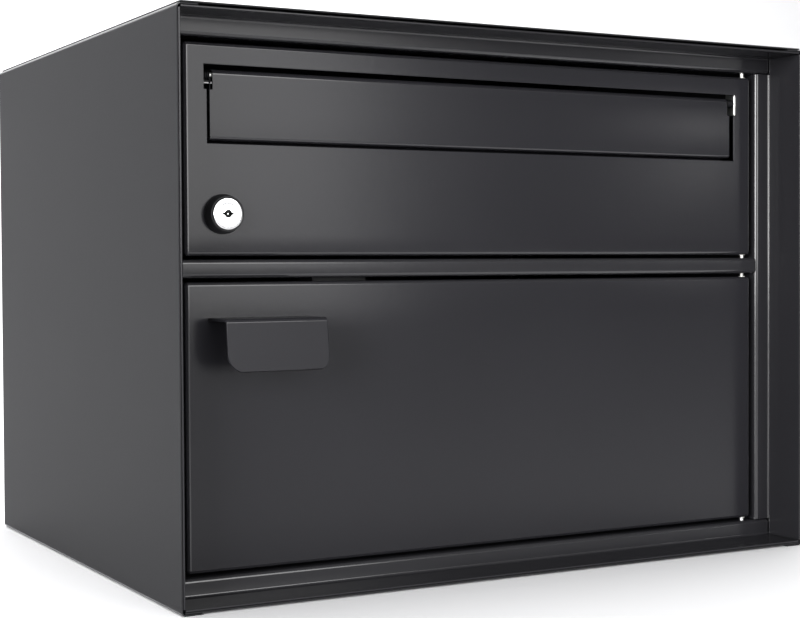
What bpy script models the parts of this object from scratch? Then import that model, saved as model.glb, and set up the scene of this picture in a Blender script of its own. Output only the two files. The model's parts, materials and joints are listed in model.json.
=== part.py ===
"""Parcel drop box in sheet steel: a letter compartment with a slot above, a parcel compartment below.

Metres, +Z up.  The origin is the centre of the base and the doors face -Y.  Every driving size is a
named value below, and the places of the parts are worked out from those.
"""

import math

import bpy
import bmesh
from mathutils import Matrix, Vector

MM = 0.001

# Overall size of the housing
BODY_WIDTH = 400 * MM
BODY_DEPTH = 320 * MM
BODY_HEIGHT = 300 * MM

# Sheets and clearances
SHELL_SHEET = 0.8 * MM
FRAME_SHEET = 1.0 * MM
DOOR_SHEET = 1.0 * MM
FLAP_SHEET = 1.0 * MM
HANDLE_SHEET = 1.5 * MM
BRACKET_SHEET = 1.2 * MM
FIT_GAP = 0.25 * MM
TURN_GAP = 0.15 * MM
BITE = 0.05 * MM
BEND_STEPS = 4

# Outer shell
SIDE_FLANGE = 11.5 * MM
SHELL_BEND = 1.6 * MM
REAR_FLANGE = 10.0 * MM
REAR_BEND = 1.5 * MM

# Front frame: linings run back from the front edge to the strips round the doors
FRAME_SETBACK = 27.3 * MM
SIDE_STRIP = 10.35 * MM
RAIL_STRIP = 9.5 * MM
MID_RAIL_HEIGHT = 9.5 * MM
FRAME_LEG = 14.0 * MM
FRAME_BEND = 1.3 * MM

# Doors
DOOR_BEHIND_STRIP = 0.7 * MM
DOOR_FOLD = 10.0 * MM
DOOR_BEND = 1.6 * MM
DOOR_HINGE_GAP = 3.6 * MM
DOOR_LATCH_GAP = 2.0 * MM
LETTER_OPENING_HEIGHT = 112.9 * MM
LETTER_GAP_TOP = 2.8 * MM
LETTER_GAP_BOTTOM = 1.8 * MM
PARCEL_GAP_TOP = 2.0 * MM
PARCEL_GAP_BOTTOM = 2.0 * MM

# Hinge pins and bushes
PIN_RADIUS = 1.25 * MM
PIN_HEAD_RADIUS = 2.2 * MM
PIN_HEAD_HEIGHT = 1.2 * MM
PIN_INTO_DOOR = 5.0 * MM
BUSH_TO_SIDE_FOLD = 0.35 * MM
BUSH_WALL = 0.6 * MM
BUSH_COLLAR = 0.45 * MM
BUSH_COLLAR_HEIGHT = 0.8 * MM
BUSH_TAIL = 1.6 * MM

# Letter slot and its flap
SLOT_MARGIN_LEFT = 12.5 * MM
SLOT_MARGIN_RIGHT = 13.2 * MM
SLOT_MARGIN_TOP = 11.1 * MM
SLOT_HEIGHT = 40.0 * MM
NOTCH_SIDE = 1.6 * MM
NOTCH_HEIGHT = 12.5 * MM
FLAP_SIDE_GAP = 2.0 * MM
FLAP_TOP_GAP = 2.1 * MM
FLAP_BOTTOM_GAP = 1.6 * MM
FLAP_BEHIND_SHEET = 0.6 * MM
FLAP_FOOT = 7.9 * MM
FLAP_LIP = 5.1 * MM
FLAP_BEND = 1.5 * MM
FLAP_CURL_DEGREES = 250
ROD_RADIUS = 1.5 * MM
ROD_OVERHANG = 1.3 * MM
CURL_GAP = 0.4 * MM
EAR_HEIGHT = 14.0 * MM
EAR_DEPTH = 8.0 * MM
EAR_FOOT = 6.0 * MM
EAR_BEYOND_NOTCH = 0.3 * MM
SPRING_WIRE_RADIUS = 0.45 * MM
SPRING_TURNS = 4
SPRING_SIDE_GAP = 0.3 * MM
SPRING_LEG = 14.0 * MM
STOP_BLOCK_WIDTH = 12.0 * MM
STOP_BLOCK_HEIGHT = 4.7 * MM
STOP_BLOCK_FROM_END = 60.0 * MM

# Lock
LOCK_FROM_EDGE = 20.5 * MM
LOCK_ABOVE_EDGE = 21.3 * MM
COLLAR_RADIUS = 10.15 * MM
COLLAR_RIM_RADIUS = 9.0 * MM
COLLAR_HEIGHT = 6.6 * MM
COLLAR_STEP = 1.6 * MM
FACE_RADIUS = 8.15 * MM
FACE_THICKNESS = 1.8 * MM
FACE_PROUD = 0.7 * MM
FACE_EDGE = 0.4 * MM
BARREL_RADIUS = 7.0 * MM
BARREL_REAR = 15.5 * MM
PLUG_RADIUS = 4.9 * MM
PLUG_EDGE = 0.2 * MM
PLUG_SPIGOT_RADIUS = 3.2 * MM
KEYWAY_WIDTH = 6.0 * MM
KEYWAY_HEIGHT = 1.1 * MM
KEYWAY_DEPTH = 8.0 * MM
KEYHOLE_RADIUS = 1.8 * MM
KEYHOLE_DEPTH = 1.2 * MM
NUT_RADIUS = 11.0 * MM
NUT_THICKNESS = 4.0 * MM
CAM_REACH = 26.0 * MM
CAM_WIDTH = 11.0 * MM
CAM_THICKNESS = 2.0 * MM
CAM_BEHIND_BARREL = 1.0 * MM
CAM_NUT_RADIUS = 5.4 * MM
CAM_NUT_THICKNESS = 2.5 * MM
STRIKE_HEIGHT = 36.0 * MM
STRIKE_LAP = 2.1 * MM

# Door stops on the left stile
STOP_HEIGHT = 20.0 * MM
STOP_REACH = 12.0 * MM
BUMPER_RADIUS = 4.0 * MM
LETTER_STOP_DROP = 29.0 * MM
PARCEL_STOP_RISE = 45.0 * MM

# Handle of the parcel door
HANDLE_FROM_EDGE = 12.2 * MM
HANDLE_WIDTH = 55.9 * MM
HANDLE_DROP = 18.2 * MM
HANDLE_TOP_REACH = 22.3 * MM
HANDLE_PLATE = 26.8 * MM
HANDLE_TILT = math.radians(6)
HANDLE_BEND = 1.6 * MM
HANDLE_TAB = 14.0 * MM
HANDLE_CORNER_LEFT = 9.0 * MM
HANDLE_CORNER_RIGHT = 6.0 * MM

# Magnet catch of the parcel door
CATCH_FROM_EDGE = 93.6 * MM
CATCH_WIDTH = 30.0 * MM
CATCH_DROP = 12.0 * MM
MAGNET_GAP = 0.5 * MM
MAGNET_WIDTH = 22.0 * MM
MAGNET_HEIGHT = 6.0 * MM
MAGNET_LENGTH = 14.0 * MM
MAGNET_BELOW_EDGE = 3.0 * MM
HOLDER_WIDTH = 32.0 * MM
HOLDER_LENGTH = 18.0 * MM
HOLDER_WALL = 3.0 * MM

# Divider shelf and rear fixing holes
SHELF_SIDE_FOLD = 12.0 * MM
SHELF_BEND = 1.4 * MM
FIXING_HOLE_RADIUS = 5.0 * MM
FIXING_INSET_X = 60.0 * MM
FIXING_INSET_Z = 45.0 * MM
PLUG_CAP_RADIUS = 8.0 * MM
PLUG_CAP_HEIGHT = 1.5 * MM

# Positions worked out from the sizes above
HALF_WIDTH = BODY_WIDTH / 2
FRONT = -BODY_DEPTH / 2
BACK = BODY_DEPTH / 2
WALL_IN = HALF_WIDTH - SHELL_SHEET
LINING_OUT = WALL_IN - FIT_GAP
LINING_IN = LINING_OUT - FRAME_SHEET
PANEL_X = HALF_WIDTH - SHELL_SHEET / 2 - SHELL_BEND
OPENING_X = LINING_IN - SIDE_STRIP
BOTTOM_SHEET_TOP = 2 * SHELL_SHEET + FIT_GAP
LINING_BOTTOM = BOTTOM_SHEET_TOP + FIT_GAP
LINING_TOP = BODY_HEIGHT - LINING_BOTTOM
OPENING_BOTTOM = LINING_BOTTOM + FRAME_SHEET + RAIL_STRIP
OPENING_TOP = LINING_TOP - FRAME_SHEET - RAIL_STRIP
MID_TOP = OPENING_TOP - LETTER_OPENING_HEIGHT
MID_BOTTOM = MID_TOP - MID_RAIL_HEIGHT
FRAME_FACE = FRONT + FRAME_SETBACK
FRAME_REAR = FRAME_FACE + FRAME_LEG
DOOR_FACE = FRAME_FACE + DOOR_BEHIND_STRIP
DOOR_INSIDE = DOOR_FACE + DOOR_SHEET
DOOR_REAR = DOOR_FACE + DOOR_FOLD
DOOR_LEFT = -OPENING_X + DOOR_LATCH_GAP
DOOR_RIGHT = OPENING_X - DOOR_HINGE_GAP
LETTER_BOTTOM = MID_TOP + LETTER_GAP_BOTTOM
LETTER_TOP = OPENING_TOP - LETTER_GAP_TOP
PARCEL_BOTTOM = OPENING_BOTTOM + PARCEL_GAP_BOTTOM
PARCEL_TOP = MID_BOTTOM - PARCEL_GAP_TOP
BUSH_BORE = PIN_RADIUS + TURN_GAP
BUSH_RADIUS = BUSH_BORE + BUSH_WALL
COLLAR_OF_BUSH = BUSH_RADIUS + BUSH_COLLAR
HINGE_X = DOOR_RIGHT - DOOR_SHEET - BUSH_TO_SIDE_FOLD - COLLAR_OF_BUSH
HINGE_Y = DOOR_INSIDE + FIT_GAP + COLLAR_OF_BUSH
SLOT_LEFT = DOOR_LEFT + SLOT_MARGIN_LEFT
SLOT_RIGHT = DOOR_RIGHT - SLOT_MARGIN_RIGHT
SLOT_TOP = LETTER_TOP - SLOT_MARGIN_TOP
SLOT_BOTTOM = SLOT_TOP - SLOT_HEIGHT
FLAP_LEFT = SLOT_LEFT + FLAP_SIDE_GAP
FLAP_RIGHT = SLOT_RIGHT - FLAP_SIDE_GAP
FLAP_TOP = SLOT_TOP - FLAP_TOP_GAP
FLAP_BOTTOM = SLOT_BOTTOM + FLAP_BOTTOM_GAP
CURL_RADIUS = ROD_RADIUS + CURL_GAP + FLAP_SHEET / 2
FLAP_PLATE_Y = DOOR_INSIDE + FLAP_BEHIND_SHEET + FLAP_SHEET / 2
FLAP_AXIS_Y = FLAP_PLATE_Y + CURL_RADIUS
FLAP_AXIS_Z = FLAP_TOP - CURL_RADIUS - FLAP_SHEET / 2
EAR_LEFT = SLOT_LEFT - NOTCH_SIDE - EAR_BEYOND_NOTCH
EAR_RIGHT = SLOT_RIGHT + NOTCH_SIDE + EAR_BEYOND_NOTCH
LOCK_X = DOOR_LEFT + LOCK_FROM_EDGE
LOCK_Z = LETTER_BOTTOM + LOCK_ABOVE_EDGE
LOCK_FRONT = DOOR_FACE - FIT_GAP - COLLAR_HEIGHT - FACE_PROUD
BARREL_END = DOOR_FACE + BARREL_REAR
CAM_FRONT = BARREL_END + CAM_BEHIND_BARREL
STOP_FACE = FRAME_REAR + FIT_GAP
HANDLE_LEFT = DOOR_LEFT + HANDLE_FROM_EDGE
HANDLE_RIGHT = HANDLE_LEFT + HANDLE_WIDTH
HANDLE_Z = PARCEL_TOP - HANDLE_DROP - HANDLE_SHEET / 2
CATCH_X = DOOR_LEFT + CATCH_FROM_EDGE
MAGNET_TOP = MID_BOTTOM - MAGNET_BELOW_EDGE - PARCEL_GAP_TOP
SHELF_FRONT = FRAME_REAR + FIT_GAP
SHELF_BACK = BACK - REAR_FLANGE - FIT_GAP

# Joint axes: the place of each moving body's empty
AXES = {
    "housing": Vector((0, 0, 0)),
    "letter_door": Vector((HINGE_X, HINGE_Y, LETTER_BOTTOM)),
    "slot_flap_unit": Vector(((SLOT_LEFT + SLOT_RIGHT) / 2, FLAP_AXIS_Y, FLAP_AXIS_Z)),
    "lock_cylinder": Vector((LOCK_X, LOCK_FRONT, LOCK_Z)),
    "parcel_door": Vector((HINGE_X, HINGE_Y, PARCEL_BOTTOM)),
}
PARENTS = {
    "letter_door": "housing",
    "slot_flap_unit": "letter_door",
    "lock_cylinder": "letter_door",
    "parcel_door": "housing",
}

# Finishes: colour, roughness, metallic
ANTHRACITE = ((0.040, 0.041, 0.046), 0.42, 0.0)
CHROME = ((0.80, 0.80, 0.81), 0.12, 1.0)
ZINC = ((0.60, 0.60, 0.58), 0.38, 1.0)
SPRING_STEEL = ((0.45, 0.45, 0.46), 0.30, 1.0)
BLACK_PLASTIC = ((0.012, 0.012, 0.013), 0.35, 0.0)
WHITE_NYLON = ((0.75, 0.74, 0.70), 0.50, 0.0)
BLACK_RUBBER = ((0.015, 0.015, 0.015), 0.80, 0.0)
MAGNET_GREY = ((0.10, 0.10, 0.11), 0.60, 0.0)

COLLECTIONS = {}
EMPTIES = {}


# ---------------------------------------------------------------- scene and placing

def clear_scene():
    """Take away whatever the file holds."""
    for found in list(bpy.data.objects):
        bpy.data.objects.remove(found, do_unlink=True)


def make_collections():
    """One collection for the box and one for its cutters."""
    for name in ("parcel_drop_box", "cutters"):
        collection = bpy.data.collections.new(name)
        bpy.context.scene.collection.children.link(collection)
        COLLECTIONS[name] = collection


def make_axes():
    """An empty on each joint axis, each parented to the body that carries it."""
    for body, axis in AXES.items():
        empty = bpy.data.objects.new(body + "_axis", None)
        empty.empty_display_size = 20 * MM
        COLLECTIONS["parcel_drop_box"].objects.link(empty)
        EMPTIES[body] = empty
        parent = PARENTS.get(body)
        empty.location = axis
        if parent:
            empty.parent = EMPTIES[parent]
            empty.location = axis - AXES[parent]


def finish(obj, look):
    """Give a piece its own Principled material."""
    colour, roughness, metallic = look
    material = bpy.data.materials.new(obj.name + "_finish")
    material.use_nodes = True
    shader = material.node_tree.nodes["Principled BSDF"]
    shader.inputs["Base Color"].default_value = (*colour, 1.0)
    shader.inputs["Roughness"].default_value = roughness
    shader.inputs["Metallic"].default_value = metallic
    material.diffuse_color = (*colour, 1.0)
    obj.data.materials.append(material)


def add_piece(name, data, place, body, look):
    """Link mesh or curve data as a named piece of a body, or as a cutter when it has no look."""
    obj = bpy.data.objects.new(name, data)
    group = "parcel_drop_box" if look else "cutters"
    COLLECTIONS[group].objects.link(obj)
    obj.parent = EMPTIES[body]
    obj.location = Vector(place) - AXES[body]
    if look:
        finish(obj, look)
    else:
        obj.hide_render = True
        obj.display_type = "WIRE"
    return obj


def mesh_of(name, bm):
    """Turn a bmesh into mesh data."""
    mesh = bpy.data.meshes.new(name)
    bm.to_mesh(mesh)
    bm.free()
    return mesh


# ---------------------------------------------------------------- shapes

def block(name, low, high, body, look=None):
    """A rectangular block between two corners."""
    low = Vector(low)
    high = Vector(high)
    size = high - low
    bm = bmesh.new()
    bmesh.ops.create_cube(bm, size=1.0, matrix=Matrix.Diagonal((*size, 1.0)))
    return add_piece(name, mesh_of(name, bm), (low + high) / 2, body, look)


def round_bar(name, start, end, radius, body, look=None, sides=32, turn=0.0):
    """A cylinder, or a prism when it has few sides, between two points on one axis."""
    start = Vector(start)
    end = Vector(end)
    length = (end - start).length
    align = (end - start).to_track_quat("Z", "Y").to_matrix().to_4x4()
    bm = bmesh.new()
    bmesh.ops.create_cone(bm, cap_ends=True, segments=sides, radius1=radius, radius2=radius, depth=length,
                          matrix=align @ Matrix.Rotation(turn, 4, "Z"))
    obj = add_piece(name, mesh_of(name, bm), (start + end) / 2, body, look)
    if sides > 8:
        obj.data.shade_smooth()
        obj.data.set_sharp_from_angle(angle=math.radians(40))
    return obj


def upright_hole(name, low, high, radius, body):
    """A cutter for a hole on the doors' hinge axis, between two heights in either order."""
    bottom, top = sorted((low, high))
    return round_bar(name, (HINGE_X, HINGE_Y, bottom), (HINGE_X, HINGE_Y, top), radius, body)


def turned(name, profile, base, axis, body, look, steps=32):
    """A profile of (radius, height) points spun about an axis through its base.

    The points run from the top of the outside down, so that the faces point outwards.
    """
    bm = bmesh.new()
    points = [bm.verts.new((radius, 0, height)) for radius, height in profile]
    for first, second in zip(points, points[1:]):
        bm.edges.new((first, second))
    obj = add_piece(name, mesh_of(name, bm), base, body, look)
    obj.rotation_euler = Vector(axis).to_track_quat("Z", "Y").to_euler()
    screw = obj.modifiers.new("turn", "SCREW")
    screw.steps = steps
    screw.render_steps = steps
    screw.use_merge_vertices = True
    screw.merge_threshold = 0.00001
    screw.use_smooth_shade = False
    return obj


def fillet(points, radius, steps=BEND_STEPS):
    """Round the inner corners of an open line of 2D points with arcs."""
    line = [Vector(points[0])]
    for before, corner, after in zip(points, points[1:], points[2:]):
        corner = Vector(corner)
        to_before = (Vector(before) - corner).normalized()
        to_after = (Vector(after) - corner).normalized()
        half = math.acos(max(-1.0, min(1.0, to_before.dot(to_after)))) / 2
        centre = corner + (to_before + to_after).normalized() * radius / math.sin(half)
        reach = radius / math.tan(half)
        first = corner + to_before * reach - centre
        sweep = first.angle_signed(corner + to_after * reach - centre)
        for step in range(steps + 1):
            angle = -sweep * step / steps
            line.append(centre + Matrix.Rotation(angle, 2) @ first)
    line.append(Vector(points[-1]))
    return line


def folded(name, section, along, start, end, sheet, body, look, corners=()):
    """A bent sheet: a 2D line of its middle, run straight along one axis and given its thickness.

    The section's two numbers are the other two axes in X, Y, Z order.  Each corner is (end of the
    line, end of the run, radius), and rounds that corner of the flat sheet.
    """
    others = [axis for axis in range(3) if axis != along]
    origin = Vector((0, 0, 0))
    origin[along] = (start + end) / 2
    origin[others[0]], origin[others[1]] = section[0]
    rows = []
    bm = bmesh.new()
    for place in (start, end):
        row = []
        for first, second in section:
            point = Vector((0, 0, 0))
            point[along] = place
            point[others[0]] = first
            point[others[1]] = second
            row.append(bm.verts.new(point - origin))
        rows.append(row)
    for index in range(len(section) - 1):
        bm.faces.new((rows[0][index], rows[1][index], rows[1][index + 1], rows[0][index + 1]))
    for line_end, run_end, radius in corners:
        bmesh.ops.bevel(bm, geom=[rows[run_end][line_end]], offset=radius, segments=8, profile=0.5,
                        affect="VERTICES", clamp_overlap=False)
    obj = add_piece(name, mesh_of(name, bm), origin, body, look)
    wall = obj.modifiers.new("sheet", "SOLIDIFY")
    wall.thickness = sheet
    wall.offset = 0
    wall.use_even_offset = True
    return obj


def tray(name, low, high, open_side, bend, sheet, body, look):
    """A folded tray: a box open towards +Y or -Y, its bends rounded, its walls one sheet thick inside."""
    low = Vector(low)
    high = Vector(high)
    bm = bmesh.new()
    bmesh.ops.create_cube(bm, size=1.0, matrix=Matrix.Diagonal((*(high - low), 1.0)))
    bm.faces.ensure_lookup_table()
    lid = [face for face in bm.faces if face.normal.y * open_side > 0.5]
    bmesh.ops.delete(bm, geom=lid, context="FACES_ONLY")
    folds = [edge for edge in bm.edges if len(edge.link_faces) == 2]
    bmesh.ops.bevel(bm, geom=folds, offset=bend, segments=3, profile=0.5, affect="EDGES")
    obj = add_piece(name, mesh_of(name, bm), (low + high) / 2, body, look)
    wall = obj.modifiers.new("sheet", "SOLIDIFY")
    wall.thickness = sheet
    wall.offset = -1
    wall.use_even_offset = True
    return obj


def cut(piece, cutter):
    """Cut a piece with a cutter."""
    step = piece.modifiers.new("cut_" + cutter.name, "BOOLEAN")
    step.operation = "DIFFERENCE"
    step.solver = "EXACT"
    step.object = cutter


# ---------------------------------------------------------------- housing

def side_panel(name, side):
    """A C-shaped sheet: the wall of one side, a flange under the bottom and one below the top sheet."""
    middle = SHELL_SHEET / 2
    wall = side * (HALF_WIDTH - middle)
    tip = side * (HALF_WIDTH - SIDE_FLANGE)
    top = BODY_HEIGHT - SHELL_SHEET - FIT_GAP - middle
    points = [(tip, middle), (wall, middle), (wall, top), (tip, top)]
    folded(name, fillet(points, SHELL_BEND), 1, FRONT, BACK, SHELL_SHEET, "housing", ANTHRACITE)


def flat_panels():
    """The top and bottom sheets, which both lie over the side panels' flanges."""
    for name, top in (("bottom_panel", BOTTOM_SHEET_TOP), ("top_panel", BODY_HEIGHT)):
        block(name, (-PANEL_X, FRONT, top - SHELL_SHEET), (PANEL_X, BACK, top), "housing", ANTHRACITE)


def rear_panel():
    """The tray that closes the back, with four wall-fixing holes and a plastic plug in each."""
    low = (-LINING_OUT, BACK - REAR_FLANGE, LINING_BOTTOM)
    high = (LINING_OUT, BACK, LINING_TOP)
    panel = tray("rear_panel", low, high, -1, REAR_BEND, SHELL_SHEET, "housing", ANTHRACITE)
    cap = BACK - SHELL_SHEET - FIT_GAP
    names = {(-1, 1): "upper_left", (1, 1): "upper_right", (-1, -1): "lower_left", (1, -1): "lower_right"}
    for (side, level), where in names.items():
        x = side * (HALF_WIDTH - FIXING_INSET_X)
        z = BODY_HEIGHT / 2 + level * (BODY_HEIGHT / 2 - FIXING_INSET_Z)
        hole = round_bar("hole_" + where, (x, cap - MM, z), (x, BACK + MM, z), FIXING_HOLE_RADIUS, "housing")
        cut(panel, hole)
        stem = FIXING_HOLE_RADIUS - FIT_GAP
        length = BACK - FIT_GAP - cap
        profile = [(0, length), (stem, length), (stem, 0), (PLUG_CAP_RADIUS, 0)]
        profile += [(PLUG_CAP_RADIUS - PLUG_CAP_HEIGHT / 2, -PLUG_CAP_HEIGHT), (0, -PLUG_CAP_HEIGHT)]
        turned("fixing_plug_" + where, profile, (x, cap, z), (0, 1, 0), "housing", BLACK_PLASTIC, 24)


def stile(name, side):
    """An upright of the frame: lining, strip and rear leg, its strip notched for the rails."""
    middle = FRAME_SHEET / 2
    lining = side * (LINING_OUT - middle)
    leg = side * (OPENING_X + middle)
    web = FRAME_FACE + middle
    points = [(lining, FRONT), (lining, web), (leg, web), (leg, FRAME_REAR)]
    low = LINING_BOTTOM + FRAME_SHEET + FIT_GAP
    high = LINING_TOP - FRAME_SHEET - FIT_GAP
    section = fillet(points, FRAME_BEND)
    piece = folded(name, section, 2, low, high, FRAME_SHEET, "housing", ANTHRACITE)
    inner, outer = sorted((side * (OPENING_X - MM), side * (LINING_IN + BITE)))
    front = FRAME_FACE - FRAME_BEND - MM
    rear = FRAME_REAR + MM
    notches = {"foot": (low - MM, OPENING_BOTTOM + FIT_GAP), "head": (OPENING_TOP - FIT_GAP, high + MM)}
    for where, (bottom, top) in notches.items():
        cut(piece, block(name + "_" + where + "_notch", (inner, front, bottom), (outer, rear, top), "housing"))


def rail(name, lining_face, towards, opening):
    """A cross rail of the frame, whose lining lies on the top or bottom panel."""
    middle = FRAME_SHEET / 2
    lining = lining_face + towards * middle
    leg = opening - towards * middle
    web = FRAME_FACE + middle
    points = [(FRONT, lining), (web, lining), (web, leg), (FRAME_REAR, leg)]
    reach = LINING_IN - FIT_GAP
    return folded(name, fillet(points, FRAME_BEND), 0, -reach, reach, FRAME_SHEET, "housing", ANTHRACITE)


def mid_rail():
    """The rail between the doors, a channel open to the rear."""
    middle = FRAME_SHEET / 2
    web = FRAME_FACE + middle
    upper = MID_TOP - middle
    lower = MID_BOTTOM + middle
    points = [(FRAME_REAR, upper), (web, upper), (web, lower), (FRAME_REAR, lower)]
    reach = OPENING_X - FIT_GAP
    return folded("mid_rail", fillet(points, FRAME_BEND), 0, -reach, reach, FRAME_SHEET, "housing", ANTHRACITE)


def divider_shelf():
    """The floor of the letter compartment, its sides folded down against the walls."""
    middle = SHELL_SHEET / 2
    wall = WALL_IN - FIT_GAP - middle
    level = MID_TOP - middle
    low = level - SHELF_SIDE_FOLD
    section = fillet([(-wall, low), (-wall, level), (wall, level), (wall, low)], SHELF_BEND)
    folded("divider_shelf", section, 1, SHELF_FRONT, SHELF_BACK, SHELL_SHEET, "housing", ANTHRACITE)


def hinge_pin(name, rail_piece, leg_face, towards):
    """A headed pin through a rail's leg, standing out towards a door."""
    outside = leg_face + towards * (PIN_INTO_DOOR + DOOR_SHEET)
    inside = leg_face - towards * (FRAME_SHEET + FIT_GAP)
    length = abs(outside - inside)
    chamfer = PIN_RADIUS * 0.35
    profile = [(0, length), (PIN_RADIUS - chamfer, length), (PIN_RADIUS, length - chamfer), (PIN_RADIUS, 0)]
    profile += [(PIN_HEAD_RADIUS, 0), (PIN_HEAD_RADIUS, -PIN_HEAD_HEIGHT), (0, -PIN_HEAD_HEIGHT)]
    turned(name, profile, (HINGE_X, HINGE_Y, inside), (0, 0, towards), "housing", ZINC, 24)
    hole_radius = PIN_RADIUS + FIT_GAP
    cut(rail_piece, upright_hole(name + "_hole", inside, leg_face + towards * MM, hole_radius, "housing"))


def stop_plate(name, level, height, tip):
    """A flat plate across the rear of the left stile, from the wall to its tip."""
    wall = -(WALL_IN - FIT_GAP)
    low = (wall, STOP_FACE, level - height / 2)
    high = (tip, STOP_FACE + BRACKET_SHEET, level + height / 2)
    block(name, low, high, "housing", ANTHRACITE)


def door_stops():
    """A stop plate with a rubber bumper for each door."""
    levels = {"letter": LETTER_TOP - LETTER_STOP_DROP, "parcel": PARCEL_BOTTOM + PARCEL_STOP_RISE}
    for door, level in levels.items():
        tip = -OPENING_X + STOP_REACH
        stop_plate(door + "_door_stop", level, STOP_HEIGHT, tip)
        x = tip - BUMPER_RADIUS - FIT_GAP
        front = (x, DOOR_REAR + FIT_GAP, level)
        rear = (x, STOP_FACE - FIT_GAP, level)
        round_bar(door + "_door_bumper", front, rear, BUMPER_RADIUS, "housing", BLACK_RUBBER, 24)


def magnet_catch():
    """A plastic holder under the shelf, with a magnet that faces the parcel door's catch plate."""
    top = MID_TOP - SHELL_SHEET - FIT_GAP
    bottom = MAGNET_TOP - MAGNET_HEIGHT - HOLDER_WALL
    rear = SHELF_FRONT + HOLDER_LENGTH
    low = (CATCH_X - HOLDER_WIDTH / 2, SHELF_FRONT, bottom)
    high = (CATCH_X + HOLDER_WIDTH / 2, rear, top)
    holder = block("magnet_holder", low, high, "housing", BLACK_PLASTIC)
    face = DOOR_REAR + MAGNET_GAP
    near = (CATCH_X - MAGNET_WIDTH / 2, face, MAGNET_TOP - MAGNET_HEIGHT)
    far = (CATCH_X + MAGNET_WIDTH / 2, face + MAGNET_LENGTH, MAGNET_TOP)
    block("catch_magnet", near, far, "housing", MAGNET_GREY)
    room = Vector((FIT_GAP, FIT_GAP, FIT_GAP))
    cut(holder, block("magnet_pocket", Vector(near) - room, Vector(far) + room, "housing"))


def housing():
    """The shell, the frame, the shelf, the hinge pins and what the doors close against."""
    side_panel("left_side_panel", -1)
    side_panel("right_side_panel", 1)
    flat_panels()
    rear_panel()
    stile("frame_left_stile", -1)
    stile("frame_right_stile", 1)
    top = rail("frame_top_rail", LINING_TOP, -1, OPENING_TOP)
    bottom = rail("frame_bottom_rail", LINING_BOTTOM, 1, OPENING_BOTTOM)
    middle = mid_rail()
    divider_shelf()
    hinge_pin("letter_door_top_pin", top, OPENING_TOP, -1)
    hinge_pin("letter_door_bottom_pin", middle, MID_TOP, 1)
    hinge_pin("parcel_door_top_pin", middle, MID_BOTTOM, -1)
    hinge_pin("parcel_door_bottom_pin", bottom, OPENING_BOTTOM, 1)
    stop_plate("lock_strike", LOCK_Z, STRIKE_HEIGHT, -OPENING_X + STRIKE_LAP)
    door_stops()
    magnet_catch()


# ---------------------------------------------------------------- doors

def door_tray(name, bottom, top, body):
    """A door: a tray open to the rear."""
    low = (DOOR_LEFT, DOOR_FACE, bottom)
    high = (DOOR_RIGHT, DOOR_REAR, top)
    return tray(name, low, high, 1, DOOR_BEND, DOOR_SHEET, body, ANTHRACITE)


def bush(name, door, edge, inwards, body):
    """A nylon bush in a door's fold, collared on the inside, round a hinge pin."""
    inner_face = edge + inwards * (DOOR_SHEET + FIT_GAP)
    start = -(DOOR_SHEET + FIT_GAP)
    profile = [(BUSH_BORE, BUSH_TAIL), (BUSH_RADIUS, BUSH_TAIL), (BUSH_RADIUS, BUSH_COLLAR_HEIGHT)]
    profile += [(COLLAR_OF_BUSH, BUSH_COLLAR_HEIGHT), (COLLAR_OF_BUSH, 0), (BUSH_RADIUS, 0)]
    profile += [(BUSH_RADIUS, start), (BUSH_BORE, start), (BUSH_BORE, BUSH_TAIL)]
    turned(name, profile, (HINGE_X, HINGE_Y, inner_face), (0, 0, inwards), body, WHITE_NYLON, 24)
    cut(door, upright_hole(name + "_hole", edge - inwards * MM, inner_face, BUSH_RADIUS + FIT_GAP, body))


def letter_slot(door):
    """The slot in the letter door, wider at the top where the flap's springs and rod lie."""
    front = DOOR_FACE - MM
    rear = DOOR_INSIDE + MM
    low = (SLOT_LEFT, front, SLOT_BOTTOM)
    high = (SLOT_RIGHT, rear, SLOT_TOP)
    cut(door, block("slot_opening", low, high, "letter_door"))
    low = (SLOT_LEFT - NOTCH_SIDE, front, SLOT_TOP - NOTCH_HEIGHT)
    high = (SLOT_RIGHT + NOTCH_SIDE, rear, SLOT_TOP + BITE)
    cut(door, block("slot_notches", low, high, "letter_door"))


def flap_ears():
    """Two brackets on the inside of the letter door, and the rod that they hold."""
    middle = BRACKET_SHEET / 2
    foot_y = DOOR_INSIDE + FIT_GAP + middle
    low = FLAP_AXIS_Z - EAR_HEIGHT / 2
    high = FLAP_AXIS_Z + EAR_HEIGHT / 2
    for name, face, away in (("flap_ear_left", EAR_LEFT, -1), ("flap_ear_right", EAR_RIGHT, 1)):
        x = face + away * middle
        points = [(x + away * EAR_FOOT, foot_y), (x, foot_y), (x, foot_y + EAR_DEPTH)]
        ear = folded(name, fillet(points, BRACKET_SHEET), 2, low, high, BRACKET_SHEET, "letter_door", ZINC)
        near = (x - 2 * BRACKET_SHEET, FLAP_AXIS_Y, FLAP_AXIS_Z)
        far = (x + 2 * BRACKET_SHEET, FLAP_AXIS_Y, FLAP_AXIS_Z)
        cut(ear, round_bar(name + "_hole", near, far, ROD_RADIUS + FIT_GAP, "letter_door", sides=24))
    reach = BRACKET_SHEET + ROD_OVERHANG
    start = (EAR_LEFT - reach, FLAP_AXIS_Y, FLAP_AXIS_Z)
    end = (EAR_RIGHT + reach, FLAP_AXIS_Y, FLAP_AXIS_Z)
    round_bar("flap_rod", start, end, ROD_RADIUS, "letter_door", ZINC, 24)


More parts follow.
